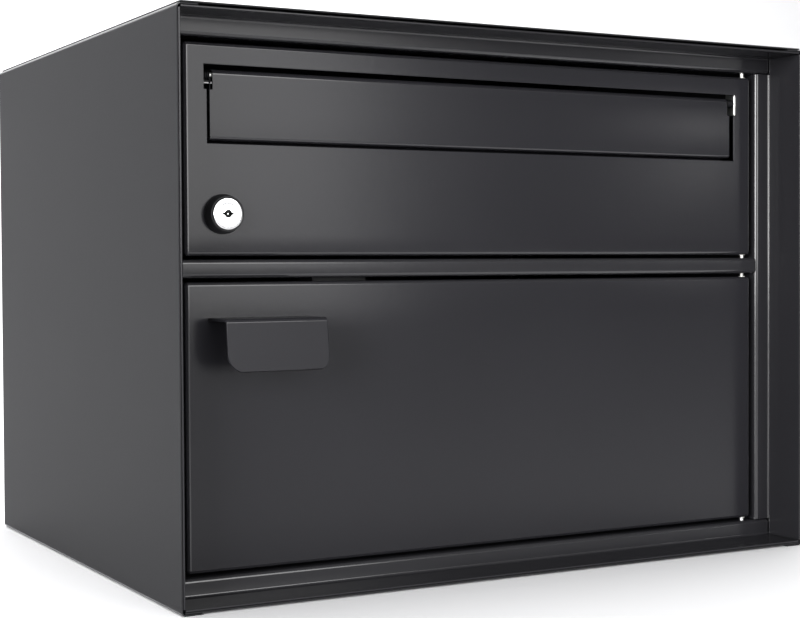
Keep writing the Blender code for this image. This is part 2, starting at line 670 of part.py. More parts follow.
def flap_stops():
    """Two rubber blocks under the slot that the flap's rear lip rests against."""
    top = SLOT_BOTTOM - FIT_GAP
    rear = FLAP_PLATE_Y + FLAP_FOOT - FLAP_SHEET / 2 - FIT_GAP
    from_right = STOP_BLOCK_FROM_END + STOP_BLOCK_WIDTH
    for where, left in (("left", FLAP_LEFT + STOP_BLOCK_FROM_END), ("right", FLAP_RIGHT - from_right)):
        low = (left, DOOR_INSIDE + FIT_GAP, top - STOP_BLOCK_HEIGHT)
        high = (left + STOP_BLOCK_WIDTH, rear, top)
        block("flap_stop_" + where, low, high, "letter_door", BLACK_RUBBER)


def lock_body(door):
    """The lock's fixed pieces: a black collar, the chrome face on its barrel, and the nut behind the door."""
    toward = (0, -1, 0)
    base = (LOCK_X, DOOR_FACE - FIT_GAP, LOCK_Z)
    bore = BARREL_RADIUS + FIT_GAP
    well = FACE_RADIUS + FIT_GAP
    floor = COLLAR_HEIGHT + FACE_PROUD - FACE_THICKNESS - FIT_GAP
    profile = [(well, COLLAR_HEIGHT), (COLLAR_RIM_RADIUS, COLLAR_HEIGHT), (COLLAR_RADIUS, COLLAR_STEP)]
    profile += [(COLLAR_RADIUS, 0), (bore, 0), (bore, floor), (well, floor), (well, COLLAR_HEIGHT)]
    turned("lock_collar", profile, base, toward, "letter_door", BLACK_PLASTIC)
    front = COLLAR_HEIGHT + FACE_PROUD
    back = front - FACE_THICKNESS
    tail = DOOR_FACE - FIT_GAP - BARREL_END
    inner = PLUG_RADIUS + TURN_GAP
    profile = [(inner, front), (FACE_RADIUS - FACE_EDGE, front), (FACE_RADIUS, front - FACE_EDGE)]
    profile += [(FACE_RADIUS, back), (BARREL_RADIUS, back), (BARREL_RADIUS, tail)]
    profile += [(inner, tail), (inner, front)]
    turned("lock_housing", profile, base, toward, "letter_door", CHROME)
    start = (LOCK_X, DOOR_FACE - MM, LOCK_Z)
    end = (LOCK_X, DOOR_INSIDE + MM, LOCK_Z)
    cut(door, round_bar("lock_hole", start, end, bore, "letter_door"))
    start = (LOCK_X, DOOR_INSIDE + FIT_GAP, LOCK_Z)
    end = (LOCK_X, DOOR_INSIDE + FIT_GAP + NUT_THICKNESS, LOCK_Z)
    nut = round_bar("lock_nut", start, end, NUT_RADIUS, "letter_door", ZINC, 6)
    thread_start = (LOCK_X, DOOR_INSIDE, LOCK_Z)
    thread_end = (LOCK_X, DOOR_INSIDE + NUT_THICKNESS + MM, LOCK_Z)
    cut(nut, round_bar("lock_nut_thread", thread_start, thread_end, bore, "letter_door"))


def lock_plug():
    """The part that the key turns: the plug, the cam on its spigot and the cam's nut."""
    body = "lock_cylinder"
    base = (LOCK_X, BARREL_END + FIT_GAP, LOCK_Z)
    front = BARREL_END + FIT_GAP - LOCK_FRONT
    nut_start = CAM_FRONT + CAM_THICKNESS + FIT_GAP
    nut_end = nut_start + CAM_NUT_THICKNESS
    tail = BARREL_END + FIT_GAP - nut_end - FIT_GAP
    profile = [(0, front), (PLUG_RADIUS - PLUG_EDGE, front), (PLUG_RADIUS, front - PLUG_EDGE), (PLUG_RADIUS, 0)]
    profile += [(PLUG_SPIGOT_RADIUS, 0), (PLUG_SPIGOT_RADIUS, tail), (0, tail)]
    plug = turned("lock_plug", profile, base, (0, -1, 0), body, CHROME)
    low = (LOCK_X - KEYWAY_WIDTH / 2, LOCK_FRONT - MM, LOCK_Z - KEYWAY_HEIGHT / 2)
    high = (LOCK_X + KEYWAY_WIDTH / 2, LOCK_FRONT + KEYWAY_DEPTH, LOCK_Z + KEYWAY_HEIGHT / 2)
    cut(plug, block("keyway", low, high, body))
    start = (LOCK_X, LOCK_FRONT - MM, LOCK_Z)
    end = (LOCK_X, LOCK_FRONT + KEYHOLE_DEPTH, LOCK_Z)
    cut(plug, round_bar("keyhole", start, end, KEYHOLE_RADIUS, body, sides=24))
    low = (LOCK_X - CAM_WIDTH / 2, CAM_FRONT, LOCK_Z - CAM_WIDTH / 2)
    high = (LOCK_X + CAM_WIDTH / 2, CAM_FRONT + CAM_THICKNESS, LOCK_Z + CAM_REACH)
    cam = block("lock_cam", low, high, body, ZINC)
    bore = PLUG_SPIGOT_RADIUS + FIT_GAP
    start = (LOCK_X, CAM_FRONT - MM, LOCK_Z)
    end = (LOCK_X, CAM_FRONT + CAM_THICKNESS + MM, LOCK_Z)
    cut(cam, round_bar("cam_hole", start, end, bore, body, sides=24))
    start = (LOCK_X, nut_start, LOCK_Z)
    nut = round_bar("cam_nut", start, (LOCK_X, nut_end, LOCK_Z), CAM_NUT_RADIUS, body, ZINC, 6)
    start = (LOCK_X, nut_start - MM, LOCK_Z)
    end = (LOCK_X, nut_end + MM, LOCK_Z)
    cut(nut, round_bar("cam_nut_thread", start, end, bore, body, sides=24))


def slot_flap():
    """The slot's flap: a plate with a rolled top edge, a foot at the bottom and a lip behind it."""
    body = "slot_flap_unit"
    foot = FLAP_BOTTOM + FLAP_SHEET / 2
    lip_y = FLAP_PLATE_Y + FLAP_FOOT
    points = [(lip_y, foot - FLAP_LIP), (lip_y, foot), (FLAP_PLATE_Y, foot), (FLAP_PLATE_Y, FLAP_AXIS_Z)]
    section = fillet(points, FLAP_BEND)
    steps = 5 * BEND_STEPS
    for step in range(1, steps + 1):
        angle = math.radians(180 - FLAP_CURL_DEGREES * step / steps)
        spoke = Vector((math.cos(angle), math.sin(angle))) * CURL_RADIUS
        section.append(Vector((FLAP_AXIS_Y, FLAP_AXIS_Z)) + spoke)
    flap = folded("slot_flap", section, 0, FLAP_LEFT, FLAP_RIGHT, FLAP_SHEET, body, ANTHRACITE)
    bottom = SLOT_TOP - NOTCH_HEIGHT
    rear = FLAP_AXIS_Y + CURL_RADIUS + FLAP_SHEET
    lefts = {"left": FLAP_LEFT - MM, "right": FLAP_RIGHT - NOTCH_SIDE}
    for where, start in lefts.items():
        end = start + MM + NOTCH_SIDE
        low = (start, DOOR_INSIDE, bottom)
        high = (end, rear, SLOT_TOP)
        cut(flap, block("flap_corner_" + where, low, high, body))


def flap_spring(name, ear_face, inwards):
    """A torsion spring round the rod, between an ear and the flap, its leg down the flap's back."""
    radius = ROD_RADIUS + SPRING_SIDE_GAP + SPRING_WIRE_RADIUS
    start_x = ear_face + inwards * (SPRING_WIRE_RADIUS + SPRING_SIDE_GAP)
    room = FLAP_SIDE_GAP + 2 * NOTCH_SIDE + EAR_BEYOND_NOTCH - 2 * SPRING_SIDE_GAP - 2 * SPRING_WIRE_RADIUS
    leg_y = FLAP_PLATE_Y + FLAP_SHEET / 2 + FIT_GAP + SPRING_WIRE_RADIUS
    last = math.acos((leg_y - FLAP_AXIS_Y) / radius)
    per_turn = 12
    count = SPRING_TURNS * per_turn
    points = []
    for step in range(count + 1):
        angle = 2 * math.pi * (count - step) / per_turn - last
        x = start_x + inwards * room * step / count
        points.append((x, FLAP_AXIS_Y + radius * math.cos(angle), FLAP_AXIS_Z + radius * math.sin(angle)))
    end_x, end_y, end_z = points[-1]
    points.append((end_x, leg_y, end_z - SPRING_LEG))
    curve = bpy.data.curves.new(name, "CURVE")
    curve.dimensions = "3D"
    curve.bevel_depth = SPRING_WIRE_RADIUS
    curve.bevel_resolution = 1
    curve.use_fill_caps = True
    spline = curve.splines.new("POLY")
    spline.points.add(len(points) - 1)
    middle = Vector((ear_face, FLAP_AXIS_Y, FLAP_AXIS_Z))
    for point, place in zip(spline.points, points):
        point.co = (*(Vector(place) - middle), 1.0)
    add_piece(name, curve, middle, "slot_flap_unit", SPRING_STEEL)


def letter_door():
    """The letter door with its bushes, slot, flap and lock."""
    door = door_tray("letter_door_panel", LETTER_BOTTOM, LETTER_TOP, "letter_door")
    bush("letter_door_top_bush", door, LETTER_TOP, -1, "letter_door")
    bush("letter_door_bottom_bush", door, LETTER_BOTTOM, 1, "letter_door")
    letter_slot(door)
    flap_ears()
    flap_stops()
    slot_flap()
    flap_spring("flap_spring_left", EAR_LEFT, 1)
    flap_spring("flap_spring_right", EAR_RIGHT, -1)
    lock_body(door)
    lock_plug()


def door_handle(door):
    """A bent tab: fixed inside the door, out through a slit, then down as the pull plate."""
    middle = HANDLE_SHEET / 2
    tab = DOOR_INSIDE + FIT_GAP + middle
    top = DOOR_FACE - HANDLE_TOP_REACH - middle
    drop = HANDLE_PLATE - middle
    bottom = (top - drop * math.sin(HANDLE_TILT), HANDLE_Z - drop * math.cos(HANDLE_TILT))
    section = fillet([(tab, HANDLE_Z + HANDLE_TAB), (tab, HANDLE_Z), (top, HANDLE_Z), bottom], HANDLE_BEND)
    corners = ((-1, 0, HANDLE_CORNER_LEFT), (-1, 1, HANDLE_CORNER_RIGHT))
    span = (HANDLE_LEFT, HANDLE_RIGHT)
    folded("door_handle", section, 0, *span, HANDLE_SHEET, "parcel_door", ANTHRACITE, corners)
    low = (HANDLE_LEFT - FIT_GAP, DOOR_FACE - MM, HANDLE_Z - middle - FIT_GAP)
    high = (HANDLE_RIGHT + FIT_GAP, DOOR_INSIDE + BITE, HANDLE_Z + middle + HANDLE_BEND + FIT_GAP)
    cut(door, block("handle_slit", low, high, "parcel_door"))


def catch_plate():
    """The angle under the parcel door's top fold that the magnet holds."""
    middle = BRACKET_SHEET / 2
    level = PARCEL_TOP - DOOR_SHEET - FIT_GAP - middle
    front = DOOR_INSIDE + DOOR_BEND
    rear = DOOR_REAR - middle
    section = fillet([(front, level), (rear, level), (rear, level - CATCH_DROP)], BRACKET_SHEET)
    left = CATCH_X - CATCH_WIDTH / 2
    folded("catch_plate", section, 0, left, left + CATCH_WIDTH, BRACKET_SHEET, "parcel_door", ZINC)


def parcel_door():
    """The parcel door with its bushes, handle and catch plate."""
    door = door_tray("parcel_door_panel", PARCEL_BOTTOM, PARCEL_TOP, "parcel_door")
    bush("parcel_door_top_bush", door, PARCEL_TOP, -1, "parcel_door")
    bush("parcel_door_bottom_bush", door, PARCEL_BOTTOM, 1, "parcel_door")
    door_handle(door)
    catch_plate()


def main():
    """Build the whole box."""
    clear_scene()
    make_collections()
    make_axes()
    housing()
    letter_door()
    parcel_door()


main()
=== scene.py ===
"""Parcel drop box: its visible pieces, finishes and stage, laid out as a Blender add-on.

Every place and overall size comes from the CAD frame.  The sheets, turned parts, wires and plates
are surfaces worked out with numpy, and each function says its formula in words.  Metres, +Z up.
"""

import json
import math

import bmesh
import bpy
import numpy as np
from bpy.props import FloatProperty, FloatVectorProperty, PointerProperty
from bpy.types import Operator, Panel, PropertyGroup
from mathutils import Matrix, Vector


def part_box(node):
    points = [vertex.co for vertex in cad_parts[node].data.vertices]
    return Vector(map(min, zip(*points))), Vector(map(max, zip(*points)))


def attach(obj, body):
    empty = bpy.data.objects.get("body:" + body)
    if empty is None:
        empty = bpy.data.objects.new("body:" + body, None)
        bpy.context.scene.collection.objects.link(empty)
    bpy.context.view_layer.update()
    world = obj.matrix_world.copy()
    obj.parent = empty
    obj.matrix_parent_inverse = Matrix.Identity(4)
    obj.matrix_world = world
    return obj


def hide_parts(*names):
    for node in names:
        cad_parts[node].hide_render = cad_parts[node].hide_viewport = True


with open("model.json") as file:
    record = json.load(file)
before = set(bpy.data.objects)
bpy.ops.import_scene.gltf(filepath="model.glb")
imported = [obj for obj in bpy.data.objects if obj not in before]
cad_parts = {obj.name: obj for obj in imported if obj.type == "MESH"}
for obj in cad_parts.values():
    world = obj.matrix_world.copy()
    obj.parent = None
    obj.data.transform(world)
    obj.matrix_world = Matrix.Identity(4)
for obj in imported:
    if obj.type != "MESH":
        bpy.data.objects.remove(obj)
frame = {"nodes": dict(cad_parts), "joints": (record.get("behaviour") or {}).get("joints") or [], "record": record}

bl_info = {
    "name": "Parcel Drop Box",
    "version": (1, 0, 0),
    "blender": (4, 5, 0),
    "location": "3D Viewport > Sidebar > Parcel Box",
    "description": "A sheet-steel parcel drop box with two doors, a letter slot and a cam lock",
    "category": "Object",
}

MM = 0.001
X, Y, Z = 0, 1, 2
TO_FRONT, TO_BACK = (0, -1, 0), (0, 1, 0)
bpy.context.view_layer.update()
COATS = {entry["slot"]: entry["base_color"] for entry in frame["record"]["materials"]}
AXES = {joint["name"]: joint["pos_m"] for joint in frame["joints"]}

# Fineness of the surfaces: steps of a bend, a corner, a turned profile's corner and a full turn,
# the widest gap of a grid, the lines and rings about a hole, and how close points are made one
BEND_STEPS = 10
CORNER_STEPS = 8
PROFILE_STEPS = 4
RING_STEPS = 96
GRID_STEP = 25 * MM
HOLE_LINES = 9
HOLE_RINGS = 3
MERGE = 0.004 * MM

# Faces that turn by more than the first angle make a bend, and by more than the second an edge
BEND_LEAST = math.radians(6)
EDGE_LEAST = math.radians(35)

# Clearances and proportions: the gap round a part that fits another, half a hole's square against
# the hole's radius, the slope of a nut's chamfer, and a number that stands in for nothing
FIT_GAP = 0.25 * MM
HOLE_SQUARE = 1.4
CHAMFER_SLOPE = 0.577
TINY = 1e-6

# Softboxes: name, place, the point that it faces, width, height and radiance
SOFTBOXES = (
    ("key_softbox", (0.25, -3.0, 1.07), (0.25, 0.0, 1.07), 2.4, 1.86, 5.8),
    ("left_softbox", (-2.6, -1.55, 0.72), (0.0, 0.0, 0.15), 1.5, 1.3, 18.5),
    ("window_softbox", (2.36, -2.85, 0.47), (0.1, -0.13, 0.2), 0.11, 0.15, 14.0),
    ("top_softbox", (0.5, 1.5, 3.0), (0.5, 1.5, 0.0), 3.6, 3.4, 4.6),
)
SURROUND = 0.25

# Floor: its front end, the wall's place and height, the sweep's radius and half its width, and the
# stretch over which its painted shade goes from dark to pale
FLOOR_FRONT, WALL_PLACE, WALL_TOP, SWEEP_BEND, SWEEP_SIDE = -6.0, 3.2, 5.0, 1.4, 7.0
FLOOR_DARK_BEFORE, FLOOR_PALE_FROM = -1.2, -0.25

# Camera: focal length and sensor width in mm, its place, and its forward and right directions
FOCAL_LENGTH, SENSOR_WIDTH = 72.81, 36.0
VIEW_PLACE = (-0.4855, -0.8984, 0.1714)
VIEW_FORWARD = (0.4834, 0.875, -0.0274)
VIEW_RIGHT = (0.8752, -0.4837, -0.0053)


# ---------------------------------------------------------------- sizes and colours

def length(name, description, default_mm):
    """A length property, given in millimetres."""
    return FloatProperty(name=name, description=description, default=default_mm * MM, min=0.0,
                         subtype="DISTANCE", unit="LENGTH", precision=5)


def colour(name, description, default):
    """A colour property."""
    return FloatVectorProperty(name=name, description=description, default=default, size=3,
                               min=0.0, max=1.0, subtype="COLOR")


class ParcelBoxSizes(PropertyGroup):
    """Sizes of the folded sheets that the frame's boxes do not give."""

    shell_sheet: length("Shell Sheet", "Thickness of the shell, shelf and rear panel", 0.8)
    frame_sheet: length("Frame Sheet", "Thickness of the frame, doors and flap", 1.0)
    bracket_sheet: length("Bracket Sheet", "Thickness of the stops and the catch plate", 1.2)
    handle_sheet: length("Handle Sheet", "Thickness of the handle", 1.5)
    shell_bend: length("Shell Bend", "Radius at the middle of the shell's bends", 1.6)
    frame_bend: length("Frame Bend", "Radius at the middle of the frame's bends", 1.8)
    door_bend: length("Door Bend", "Outer radius round the doors", 2.2)
    rear_bend: length("Rear Bend", "Outer radius round the rear panel", 1.5)
    shelf_bend: length("Shelf Bend", "Radius at the middle of the shelf's bends", 1.4)
    handle_bend: length("Handle Bend", "Radius at the middle of the handle's bends", 1.6)
    edge: length("Sheet Edge", "Rounding that the coat gives to a cut edge", 0.30)
    slot_left: length("Slot From Left", "Door's left edge to the letter slot", 12.5)
    slot_right: length("Slot From Right", "Letter slot to the door's right edge", 13.2)
    slot_top: length("Slot From Top", "Letter slot to the door's top edge", 11.1)
    slot_height: length("Slot Height", "Height of the letter slot", 40.0)
    notch_side: length("Notch Side", "How much wider the slot is at its top, each side", 1.6)
    notch_height: length("Notch Height", "Height of the slot's wider part", 12.5)
    flap_foot: length("Flap Foot", "Depth of the fold at the flap's lower edge", 7.9)
    flap_lip: length("Flap Lip", "Height of the lip behind that fold", 5.1)
    fixing_hole: length("Fixing Hole", "Radius of the rear panel's fixing holes", 5.0)
    lock_hole: length("Lock Hole", "Radius of the lock's hole in the door", 7.25)
    spigot: length("Spigot", "Radius of the lock plug's tail", 3.2)
    keyway: length("Keyway", "Length of the keyhole's slit", 6.0)
    handle_tab: length("Handle Tab", "Height of the handle's tab inside the door", 14.0)
    handle_reach: length("Handle Reach", "How far the handle stands out of the door", 22.3)
    handle_plate: length("Handle Plate", "Height of the handle's plate", 26.8)
    corner_left: length("Handle Left Corner", "Radius of the handle's lower left corner", 9.0)
    corner_right: length("Handle Right Corner", "Radius of the handle's lower right corner", 6.0)


class ParcelBoxColours(PropertyGroup):
    """Base colours of the finishes."""

    shell_coat: colour("Shell Coat", "Powder coat of the shell", COATS["shell_coat"])
    frame_coat: colour("Frame Coat", "Powder coat of the frame and shelf", (0.0165, 0.0163, 0.0185))
    door_coat: colour("Door Coat", "Powder coat of the doors, flap and handle",
                      (0.0142, 0.0140, 0.0164))
    chrome: colour("Chrome", "Plating of the lock", COATS["chrome"])
    black_plastic: colour("Black Plastic", "Lock collar, plugs and magnet holder",
                          COATS["black_plastic"])
    zinc_steel: colour("Zinc Plate", "Pins, rod, nuts, cam and brackets", COATS["zinc_steel"])
    spring_steel: colour("Spring Steel", "Wire of the flap's springs", COATS["spring_steel"])
    nylon: colour("Nylon", "Bushes of the doors", COATS["nylon"])
    rubber: colour("Rubber", "Bumpers and the flap's stops", COATS["rubber"])
    magnet: colour("Magnet", "Ferrite of the door catch", COATS["magnet"])
    floor: colour("Floor", "Floor and backdrop of the stage", (0.86, 0.86, 0.87))


def sizes():
    """The sizes in use."""
    return bpy.context.scene.parcel_box_sizes


def colours():
    """The colours in use."""
    return bpy.context.scene.parcel_box_colours


# ---------------------------------------------------------------- shader sums

class Wire:
    """A socket of a material, so that shader sums read as Python sums."""

    def __init__(self, shader, socket):
        self.shader = shader
        self.socket = socket

    def math(self, operation, first, second=0.0):
        return self.shader.add("Math", {"operation": operation}, {0: first, 1: second})

    def __add__(self, other):
        return self.math("ADD", self, other)

    def __radd__(self, other):
        return self.math("ADD", other, self)

    def __sub__(self, other):
        return self.math("SUBTRACT", self, other)

    def __rsub__(self, other):
        return self.math("SUBTRACT", other, self)

    def __mul__(self, other):
        return self.math("MULTIPLY", self, other)

    def __rmul__(self, other):
        return self.math("MULTIPLY", other, self)


class Shader:
    """A material's node tree, with its Principled shader and one way to add any node."""

    def __init__(self, name):
        self.material = bpy.data.materials.new(name)
        self.material.use_nodes = True
        self.tree = self.material.node_tree
        self.surface = self.tree.nodes["Principled BSDF"]

    def put(self, node, sockets):
        """Give a node's sockets their links or values."""
        for key, value in sockets.items():
            if isinstance(value, Wire):
                self.tree.links.new(value.socket, node.inputs[key])
            else:
                node.inputs[key].default_value = value

    def add(self, kind, settings=None, sockets=None, output=0):
        """Any node: its type, its settings, then its sockets; a ramp's stops are (place, grey)."""
        node = self.tree.nodes.new("ShaderNode" + kind)
        for key, value in (settings or {}).items():
            if key == "stops":
                for element, (place, grey) in zip(node.color_ramp.elements, value):
                    element.position = place
                    element.color = (grey, grey, grey, 1.0)
            else:
                setattr(node, key, value)
        self.put(node, sockets or {})
        return Wire(self, node.outputs[output])

    def place(self):
        """The point's place on its piece."""
        return self.add("TexCoord", output="Object")

    def attribute(self, name):
        """A number that the piece's mesh carries, or 0 on a piece without it."""
        return self.add("Attribute", {"attribute_name": name}, {}, "Fac")

    def noise(self, scale, detail=2.0, roughness=0.5):
        """Soft noise from 0 to 1, with scale features to the metre."""
        return self.add("TexNoise", {}, {"Vector": self.place(), "Scale": scale, "Detail": detail,
                                         "Roughness": roughness}, "Fac")

    def band(self, value, low, high):
        """0 below low, 1 above high and a ramp between."""
        return self.add("ValToRGB", {"stops": ((low, 0.0), (high, 1.0))}, {"Fac": value})

    def blend(self, share, first, second):
        """A colour between two others."""
        settings = {"data_type": "RGBA", "clamp_factor": True}
        return self.add("Mix", settings, {0: share, 6: first, 7: second}, 2)

    def bump(self, height, depth):
        """Relief of a height from 0 to 1, depth metres high."""
        return self.add("Bump", {}, {"Height": height, "Distance": depth, "Strength": 1.0})

    def finish(self, **sockets):
        """Feed the Principled shader; an underscore stands for a space."""
        self.put(self.surface, {key.replace("_", " "): value for key, value in sockets.items()})
        return self.material


def shade(base, factor):
    """A colour made lighter or darker, with alpha."""
    return tuple(min(1.0, channel * factor) for channel in base) + (1.0,)


def powder_coat(name, base, roughness, index):
    """Cured powder: orange peel a few millimetres across, fine grain, and a faint cloudiness.

    The coat is glossier where it runs over a bend, which the attribute "bend" marks.
    """
    shader = Shader(name)
    cloud = shader.noise(9.0, 3.0)
    peel = shader.noise(330.0, 1.0)
    grain = shader.noise(1500.0, 2.0, 0.6)
    flecks = shader.band(shader.noise(2600.0, 1.0), 0.66, 0.74)
    body = shader.blend(cloud, shade(base, 0.90), shade(base, 1.10))
    coat = shader.blend(flecks * 0.35, body, shade(base, 2.2))
    return shader.finish(
        Base_Color=coat,
        Roughness=roughness - 0.05 + cloud * 0.06 + grain * 0.05,
        Normal=shader.bump(peel * 0.75 + grain * 0.25, 0.024 * MM),
        Coat_Weight=shader.attribute("bend") * 0.75,
        Coat_Roughness=0.12,
        IOR=index,
    )


def chrome(name, base):
    """Polished plate with a faint haze and the finest turned lines, with painted shade in the keyhole."""
    shader = Shader(name)
    haze = shader.noise(240.0, 3.0, 0.6)
    lines = shader.noise(5200.0, 1.0)
    recess = shader.attribute("recess")
    plate = shader.blend(haze, shade(base, 0.94), shade(base, 1.08))
    return shader.finish(
        # Painted shade: inside the keyhole the plate's colour drops to 3 per cent and it goes dull
        Base_Color=shader.blend(recess, plate, shade(base, 0.03)),
        Metallic=1.0,
        Roughness=0.07 + haze * 0.08 + recess * 0.4,
        Normal=shader.bump(lines, 0.0012 * MM),
    )


def zinc(name, base):
    """Bright zinc: crystal patches a few millimetres across, faintly blue and yellow."""
    shader = Shader(name)
    cells = shader.add("TexVoronoi", {"feature": "F1"},
                       {"Vector": shader.place(), "Scale": 420.0}, "Color")
    tint = shader.add("SeparateColor", {}, {0: cells})
    stain = shader.noise(70.0, 4.0, 0.6)
    warm = (min(1.0, base[0] * 1.06), base[1], base[2] * 0.90, 1.0)
    cool = (base[0] * 0.92, base[1] * 0.98, min(1.0, base[2] * 1.08), 1.0)
    plate = shader.blend(stain, warm, cool)
    return shader.finish(
        Base_Color=shader.blend(tint * 0.25, plate, shade(base, 0.7)),
        Metallic=1.0,
        Roughness=0.26 + tint * 0.14 + stain * 0.08,
        Normal=shader.bump(shader.noise(2400.0, 2.0), 0.004 * MM),
    )


def drawn_wire(name, base):
    """Bare spring wire with drawing marks, its colour darkened as painted shade where it sits in the slot."""
    shader = Shader(name)
    marks = shader.noise(900.0, 4.0, 0.7)
    return shader.finish(
        # Painted shade: the wire's colour is cut to 15 to 35 per cent, as it sits in shade in the slot
        Base_Color=shader.blend(marks, shade(base, 0.15), shade(base, 0.35)),
        Metallic=1.0,
        Roughness=0.38 + marks * 0.20,
        Normal=shader.bump(marks, 0.006 * MM),
    )


def moulded(name, base, roughness, texture, depth):
    """Moulded plastic or rubber: a fine mould texture and uneven gloss."""
    shader = Shader(name)
    skin = shader.noise(texture, 3.0, 0.6)
    cloud = shader.noise(45.0, 2.0)
    return shader.finish(
        Base_Color=shader.blend(cloud, shade(base, 0.85), shade(base, 1.2)),
        Roughness=roughness - 0.06 + cloud * 0.08 + skin * 0.06,
        Normal=shader.bump(skin, depth),
        IOR=1.32,
    )


def finish_of(slot):
    """The material of one of the record's slots, made the first time it is asked for."""
    name = slot + "_finish"
    if name in bpy.data.materials:
        return bpy.data.materials[name]
    base = tuple(getattr(colours(), slot))
    makers = {
        "shell_coat": lambda: powder_coat(name, base, 0.50, 1.145),
        "frame_coat": lambda: powder_coat(name, base, 0.20, 1.315),
        "door_coat": lambda: powder_coat(name, base, 0.17, 1.30),
        "chrome": lambda: chrome(name, base),
        "black_plastic": lambda: moulded(name, base, 0.42, 2200.0, 0.006 * MM),
        "zinc_steel": lambda: zinc(name, base),
        "spring_steel": lambda: drawn_wire(name, base),
        "nylon": lambda: moulded(name, base, 0.45, 1800.0, 0.008 * MM),
        "rubber": lambda: moulded(name, base, 0.75, 1400.0, 0.02 * MM),
        "magnet": lambda: moulded(name, base, 0.60, 2600.0, 0.02 * MM),
    }
    return makers[slot]()


# ---------------------------------------------------------------- lines and grids

def fold_line(corners, radius, steps=BEND_STEPS):
    """A line through the corners, each inner corner swapped for an arc that touches both its sides.

    The radius is one number, or one for each inner corner.
    """
    corners = np.asarray(corners, float)
    radii = np.broadcast_to(radius, len(corners) - 2)
    runs = [corners[:1]]
    for before, corner, after, bend in zip(corners, corners[1:], corners[2:], radii):
        back = (before - corner) / np.linalg.norm(before - corner)
        ahead = (after - corner) / np.linalg.norm(after - corner)
        half = math.acos(np.clip(back @ ahead, -1, 1)) / 2
        centre = corner + (back + ahead) / np.linalg.norm(back + ahead) * bend / math.sin(half)
        first = corner + back * bend / math.tan(half) - centre
        sweep = math.copysign(math.pi - 2 * half, back[1] * ahead[0] - back[0] * ahead[1])
        angle = np.linspace(0, sweep, steps + 1)[:, None]
        turned_first = np.array([-first[1], first[0]])
        runs.append(centre + first * np.cos(angle) + turned_first * np.sin(angle))
    runs.append(corners[-1:])
    return np.concatenate(runs)


def fold_loop(corners, radius, steps=CORNER_STEPS):
    """A closed outline, each corner rounded as in fold_line; its first point isn't repeated."""
    corners = [tuple(corner) for corner in corners]
    return fold_line([corners[-1], *corners, corners[0]], radius, steps)[1:-1]


def grid_lines(*marks):
    """Rising positions that pass through every mark, with gaps no wider than the grid step."""
    marks = sorted(marks)
    runs = []
    for first, last in zip(marks, marks[1:]):
        steps = max(1, math.ceil((last - first) / GRID_STEP))
        runs.append(np.linspace(first, last, steps + 1)[:-1])
    return np.concatenate([*runs, [marks[-1]]])


def quads(rows, columns, keep=None, round_rows=False, round_columns=False):
    """The four corners of every cell of a grid, which may close on itself, less those not kept."""
    index = np.arange(rows * columns).reshape(rows, columns)
    if round_rows:
        index = np.concatenate([index, index[:1]])
    if round_columns:
        index = np.concatenate([index, index[:, :1]], axis=1)
    cells = np.stack([index[:-1, :-1], index[:-1, 1:], index[1:, 1:], index[1:, :-1]], axis=-1)
    return cells[keep] if keep is not None else cells.reshape(-1, 4)


def centres(lines):
    """The middle of each gap between grid lines."""
    return (lines[1:] + lines[:-1]) / 2


def make_piece(name, patches, slot, body, *stands_for, sheet=0.0, edge=0.0):
    """One piece from patches of (points, quads), joined where they meet.

    A sheet thickness makes the surface the middle of a sheet, and an edge rounds its cut edges.
    The attribute "bend" is 1 inside a bend, where neighbouring faces turn by a whole step.
    """
    points = []
    faces = []
    count = 0
    for patch_points, patch_quads in patches:
        flat = np.asarray(patch_points, float).reshape(-1, 3)
        points.append(flat)
        faces.append(np.asarray(patch_quads) + count)
        count += len(flat)
    mesh = bpy.data.meshes.new(name)
    mesh.from_pydata(np.concatenate(points).tolist(), [], np.concatenate(faces).tolist())
    bm = bmesh.new()
    bm.from_mesh(mesh)
    bmesh.ops.remove_doubles(bm, verts=bm.verts, dist=MERGE)
    bmesh.ops.delete(bm, geom=[vert for vert in bm.verts if not vert.link_faces], context="VERTS")
    bmesh.ops.recalc_face_normals(bm, faces=bm.faces)
    bend = bm.verts.layers.float.new("bend")
    for line in bm.edges:
        if BEND_LEAST < line.calc_face_angle(0.0) < EDGE_LEAST:
            line.verts[0][bend] = line.verts[1][bend] = 1.0
    for face in bm.faces:
        face.smooth = True
    bm.to_mesh(mesh)
    bm.free()
    mesh.set_sharp_from_angle(angle=EDGE_LEAST)
    piece = bpy.data.objects.new(name, mesh)
    bpy.context.scene.collection.objects.link(piece)
    if sheet:
        wall = piece.modifiers.new("sheet", "SOLIDIFY")
        wall.thickness = sheet
        wall.offset = 0.0
        wall.use_even_offset = True
    if edge:
        rounding = piece.modifiers.new("edge", "BEVEL")
        rounding.width = edge
        rounding.segments = 3
        rounding.limit_method = "ANGLE"
        rounding.angle_limit = EDGE_LEAST
        rounding.use_clamp_overlap = False
        rounding.harden_normals = True
    mesh.materials.append(finish_of(slot))
    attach(piece, body)
    if stands_for:
        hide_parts(*stands_for)
    return piece


# ---------------------------------------------------------------- shapes

